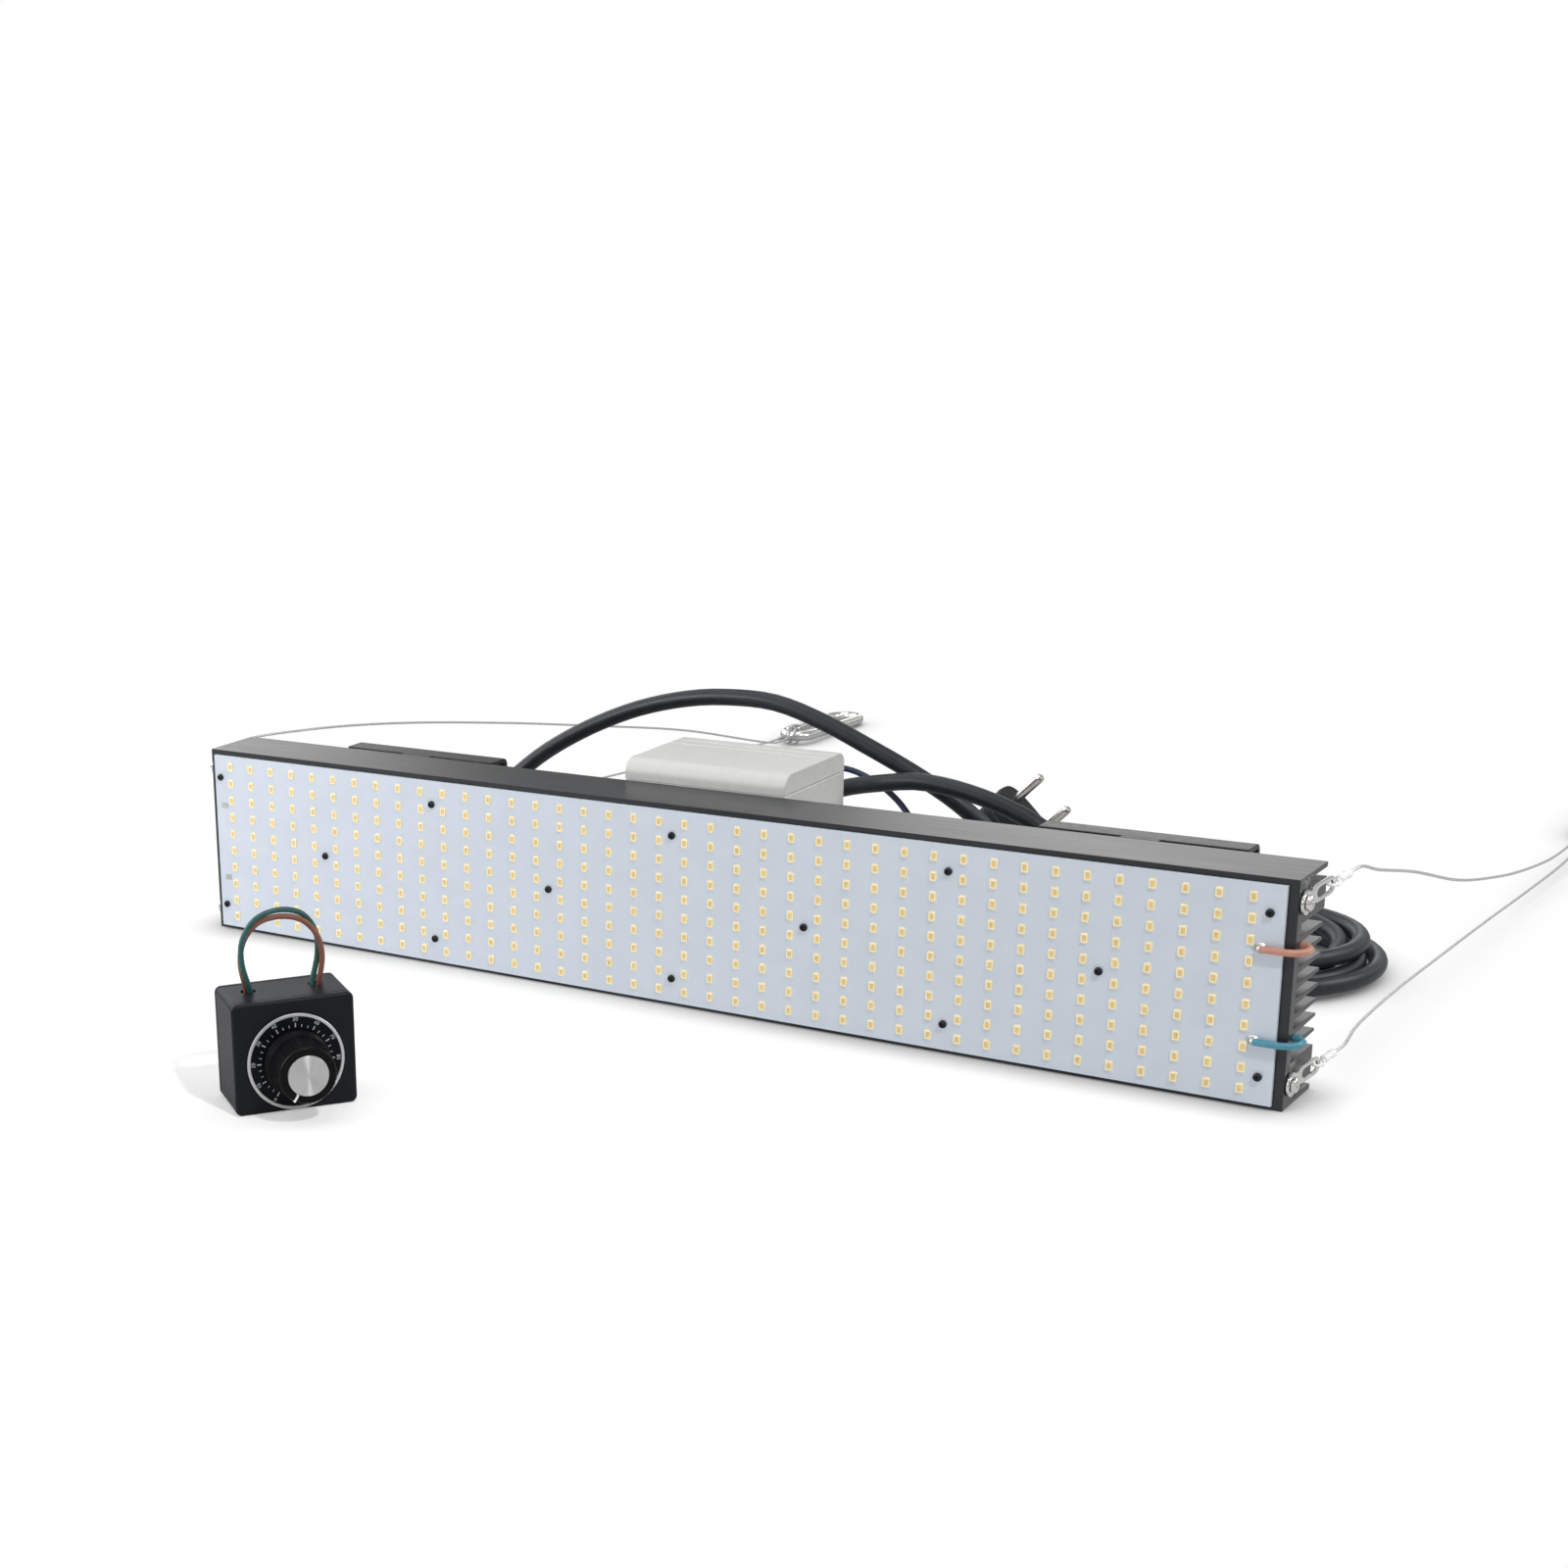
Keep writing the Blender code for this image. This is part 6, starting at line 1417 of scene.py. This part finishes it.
# %% [markdown]
# The dial is a thin black disc inside a bright ring. Its scale has thirty-one marks over 300 degrees and
# a plain number at every third mark. A picture could show the scale, but marks and numbers of real
# thickness stay sharp from close by. The numbers are text made into a mesh and then laid on the dial,
# each with its top outwards.

# %% Dial
DIAL = DIMMER @ frame_of((0, 0, 0.0200), (0, -1, 0), UP)
SCALE_START, SCALE_SWEEP = 211.5, 300.0


def at_mark(number):
    """The dial's frame turned so that X points at one of the marks."""
    return DIAL @ Matrix.Rotation(-math.radians(SCALE_START + SCALE_SWEEP * number / 30), 4, "Z")


def add_number(bm, words, place, size):
    """A flat number laid on the dial, its top outwards."""
    text = bpy.data.curves.new("dial_number", "FONT")
    text.body = words
    text.size = size
    text.align_x, text.align_y = "CENTER", "CENTER"
    text.extrude = 0.00004
    text.resolution_u = 3
    obj = bpy.data.objects.new("dial_number", text)
    bpy.context.scene.collection.objects.link(obj)
    letters = mesh_of(obj)
    upright = Matrix(((0, 1, 0, 0.0167), (-1, 0, 0, 0), (0, 0, 1, 0.00095), (0, 0, 0, 1)))
    bmesh.ops.transform(letters, matrix=place @ upright, verts=letters.verts[:])
    mesh = bpy.data.meshes.new("dial_number")
    letters.to_mesh(mesh)
    letters.free()
    bm.from_mesh(mesh)


dial_black = finish("dial_black", (0.005, 0.006, 0.008), 0.35, 0.0, 0.10, 600.0, shine=0.08)
scale_white = finish("scale_white", (0.50, 0.52, 0.52), 0.50, 0.0, 0.05, 900.0)
pointer_white = finish("pointer_white", (0.88, 0.88, 0.87), 0.45, 0.0, 0.05, 900.0)
ring_silver = finish("ring_silver", (0.64, 0.64, 0.65), 0.34, 0.8, 0.06, 500.0)
DISC = [(0, 0.0003), (0.0187, 0.0003), (0.0190, 0.0005), (0.0190, 0.0008), (0.0188, 0.0009), (0, 0.0009)]
RING = [(0.0178, 0.0007), (0.0178, 0.0011), (0.0180, 0.0013), (0.0189, 0.0013), (0.0191, 0.0011),
        (0.0191, 0.0007), (0.0178, 0.0007)]
dial_bm = bmesh.new()
turned(dial_bm, DISC, 72, DIAL)
piece("dial_disc", dial_bm, [dial_black], ["dial_plate"])
ring_bm = bmesh.new()
turned(ring_bm, RING, 96, DIAL)
piece("dial_ring", ring_bm, [ring_silver])
scale_bm = bmesh.new()
for number in range(31):
    reach, half = (0.0153, 0.00022) if number % 3 == 0 else (0.0147, 0.00014)
    mark = [(0.0136, -half), (reach, -half), (reach, half), (0.0136, half)]
    slab(scale_bm, mark, at_mark(number), 0.0009, 0.00098)
for number in range(11):
    add_number(scale_bm, str(10 * number), at_mark(3 * number), 0.0021)
piece("dial_scale", scale_bm, [scale_white])

# %% [markdown]
# The knob is a black turned cap on the dimmer's shaft, with a skirt and fine flutes. The flutes come from
# one inset: every second face of the side is pushed in. A spun aluminium disc sits in its top. Its finish
# needs a grain that runs in circles, so the disc gets a UV map of angle and radius, and the shader's
# tangent follows it.

# %% Knob
KNOB = [(0, 0.0025), (0.0128, 0.0025), (0.0130, 0.0027), (0.0130, 0.0041), (0.0128, 0.0044),
        (0.0118, 0.0052), (0.0116, 0.0057), (0.0112, 0.0179), (0.01105, 0.0186), (0.0107, 0.0190),
        (0.0103, 0.0191), (0.0084, 0.0191), (0.0083, 0.0190), (0.0083, 0.0181), (0, 0.0181)]
knob_black = finish("knob_black", (0.004, 0.004, 0.005), 0.30, 0.0, 0.10, 600.0, shine=0.10)
knob_bm = bmesh.new()
turned(knob_bm, KNOB, 80, DIAL)
knob_bm.normal_update()
side_faces = []
for face in knob_bm.faces:
    spot = DIAL.inverted() @ face.calc_center_median()
    if 0.006 < spot.z < 0.0178 and spot.xy.length > 0.011:
        side_faces.append((math.atan2(spot.y, spot.x), face))
side_faces = [face for _, face in sorted(side_faces, key=lambda pair: pair[0])]
bmesh.ops.inset_individual(
    knob_bm, faces=side_faces[::2], thickness=0.00012, depth=-0.0003, use_even_offset=True,
)
piece("turned_knob", knob_bm, [knob_black], ["dimmer_knob"], "knob")
mark_bm = bmesh.new()
pointer = DIAL @ Matrix.Rotation(-math.radians(SCALE_START), 4, "Z")
pointer_outline = [(0.0082, -0.0004), (0.0113, -0.0004), (0.0113, 0.0004), (0.0082, 0.0004)]
slab(mark_bm, pointer_outline, pointer, 0.0176, 0.01935)
soften(mark_bm, 0.0001, 1)
piece("knob_pointer", mark_bm, [pointer_white], body="knob")


def spun_metal(name):
    """Bright metal whose highlights spread along circles, with fine rings in its colour."""
    material, nodes, links, output = shader_nodes(name)
    shader = nodes.new("ShaderNodeBsdfPrincipled")
    shader.inputs["Metallic"].default_value = 1.0
    shader.inputs["Roughness"].default_value = 0.42
    shader.inputs["Anisotropic"].default_value = 0.9
    shader.inputs["Anisotropic Rotation"].default_value = 0.25
    tangent = nodes.new("ShaderNodeTangent")
    tangent.direction_type = "UV_MAP"
    tangent.uv_map = "spin"
    spin = nodes.new("ShaderNodeUVMap")
    spin.uv_map = "spin"
    stretch = nodes.new("ShaderNodeMapping")
    stretch.inputs["Scale"].default_value = (2.0, 60.0, 1.0)
    rings = nodes.new("ShaderNodeTexNoise")
    rings.inputs["Scale"].default_value = 3.0
    shades = nodes.new("ShaderNodeValToRGB")
    shades.color_ramp.elements[0].color = (0.56, 0.56, 0.56, 1.0)
    shades.color_ramp.elements[1].color = (0.74, 0.74, 0.74, 1.0)
    links.new(spin.outputs[0], stretch.inputs["Vector"])
    links.new(stretch.outputs[0], rings.inputs["Vector"])
    links.new(rings.outputs["Fac"], shades.inputs["Fac"])
    links.new(shades.outputs["Color"], shader.inputs["Base Color"])
    links.new(tangent.outputs[0], shader.inputs["Tangent"])
    links.new(shader.outputs[0], output.inputs["Surface"])
    return material


cap_bm = bmesh.new()
CAP = [(0, 0.0184), (0.0078, 0.0184), (0.0080, 0.0186), (0.0080, 0.0191), (0.0078, 0.0194),
       (0.006, 0.0194), (0.004, 0.0194), (0.002, 0.0194), (0.0004, 0.0194), (0, 0.0194)]
turned(cap_bm, CAP, 64, DIAL)
spin_map = cap_bm.loops.layers.uv.new("spin")
for face in cap_bm.faces:
    middle = DIAL.inverted() @ face.calc_center_median()
    for corner_loop in face.loops:
        spot = DIAL.inverted() @ corner_loop.vert.co
        turn = math.atan2(spot.y, spot.x) if spot.xy.length > 1e-6 else math.atan2(middle.y, middle.x)
        turn += math.tau * round((math.atan2(middle.y, middle.x) - turn) / math.tau)
        corner_loop[spin_map].uv = (turn / math.tau, spot.xy.length / 0.008)
piece("spun_cap", cap_bm, [spun_metal("spun_aluminium")], ["knob_cap"], "knob")

# %% [markdown]
# The potentiometer sits inside the dimmer, where nothing shows it. A finer model would be wasted, so it
# keeps its solid and only gets a plated finish.

# %% Potentiometer
pot = frame["nodes"]["potentiometer"]
pot.data.materials.clear()
pot.data.materials.append(zinc)
print("potentiometer dressed")

# %% [markdown]
# Now that every piece exists, the cords are declared: where each leaves the object, how long and thick
# it is, and what it carries at its far end.

# %% Cords declared


def declare(wire, points, diameter, **facts):
    """Tells the frame about one cord. It leaves the object at its first point."""
    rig.cord(wire, exit=tuple(points[0]), length=round(length_of(points), 4), diameter=diameter, **facts)


declare(
    mains_lead, mains_points, CABLE, far_end="plug", stiffness="medium", lay="loose",
    with_pieces=MAINS_PIECES,
)
for corner in CORNERS:
    declare(
        hanging_wires[corner], wire_points(corner), WIRE, far_end="fitting", stiffness="stiff", lay="loose",
        with_pieces=WIRE_PIECES[corner],
    )
declare(positive_lead, positive_points, LEAD, far_end="object", stiffness="medium", lay="loose")
declare(negative_lead, negative_points, LEAD, far_end="object", stiffness="medium", lay="loose")
for colour, side in (("green", 1), ("brown", -1)):
    declare(
        dimmer_leads[colour], dimmer_lead_points(side), DIMMER_LEAD, far_end="object", stiffness="medium",
        lay="loose",
    )
print("cords declared")

# %% [markdown]
# The script ends by writing both boxes, the solids' and the dressed model's, so that they can be
# compared.

# %% Close
with open("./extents.json", "w") as sizes:
    json.dump({"cad": cad_box, "visual": [list(corner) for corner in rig.bounds()]}, sizes)
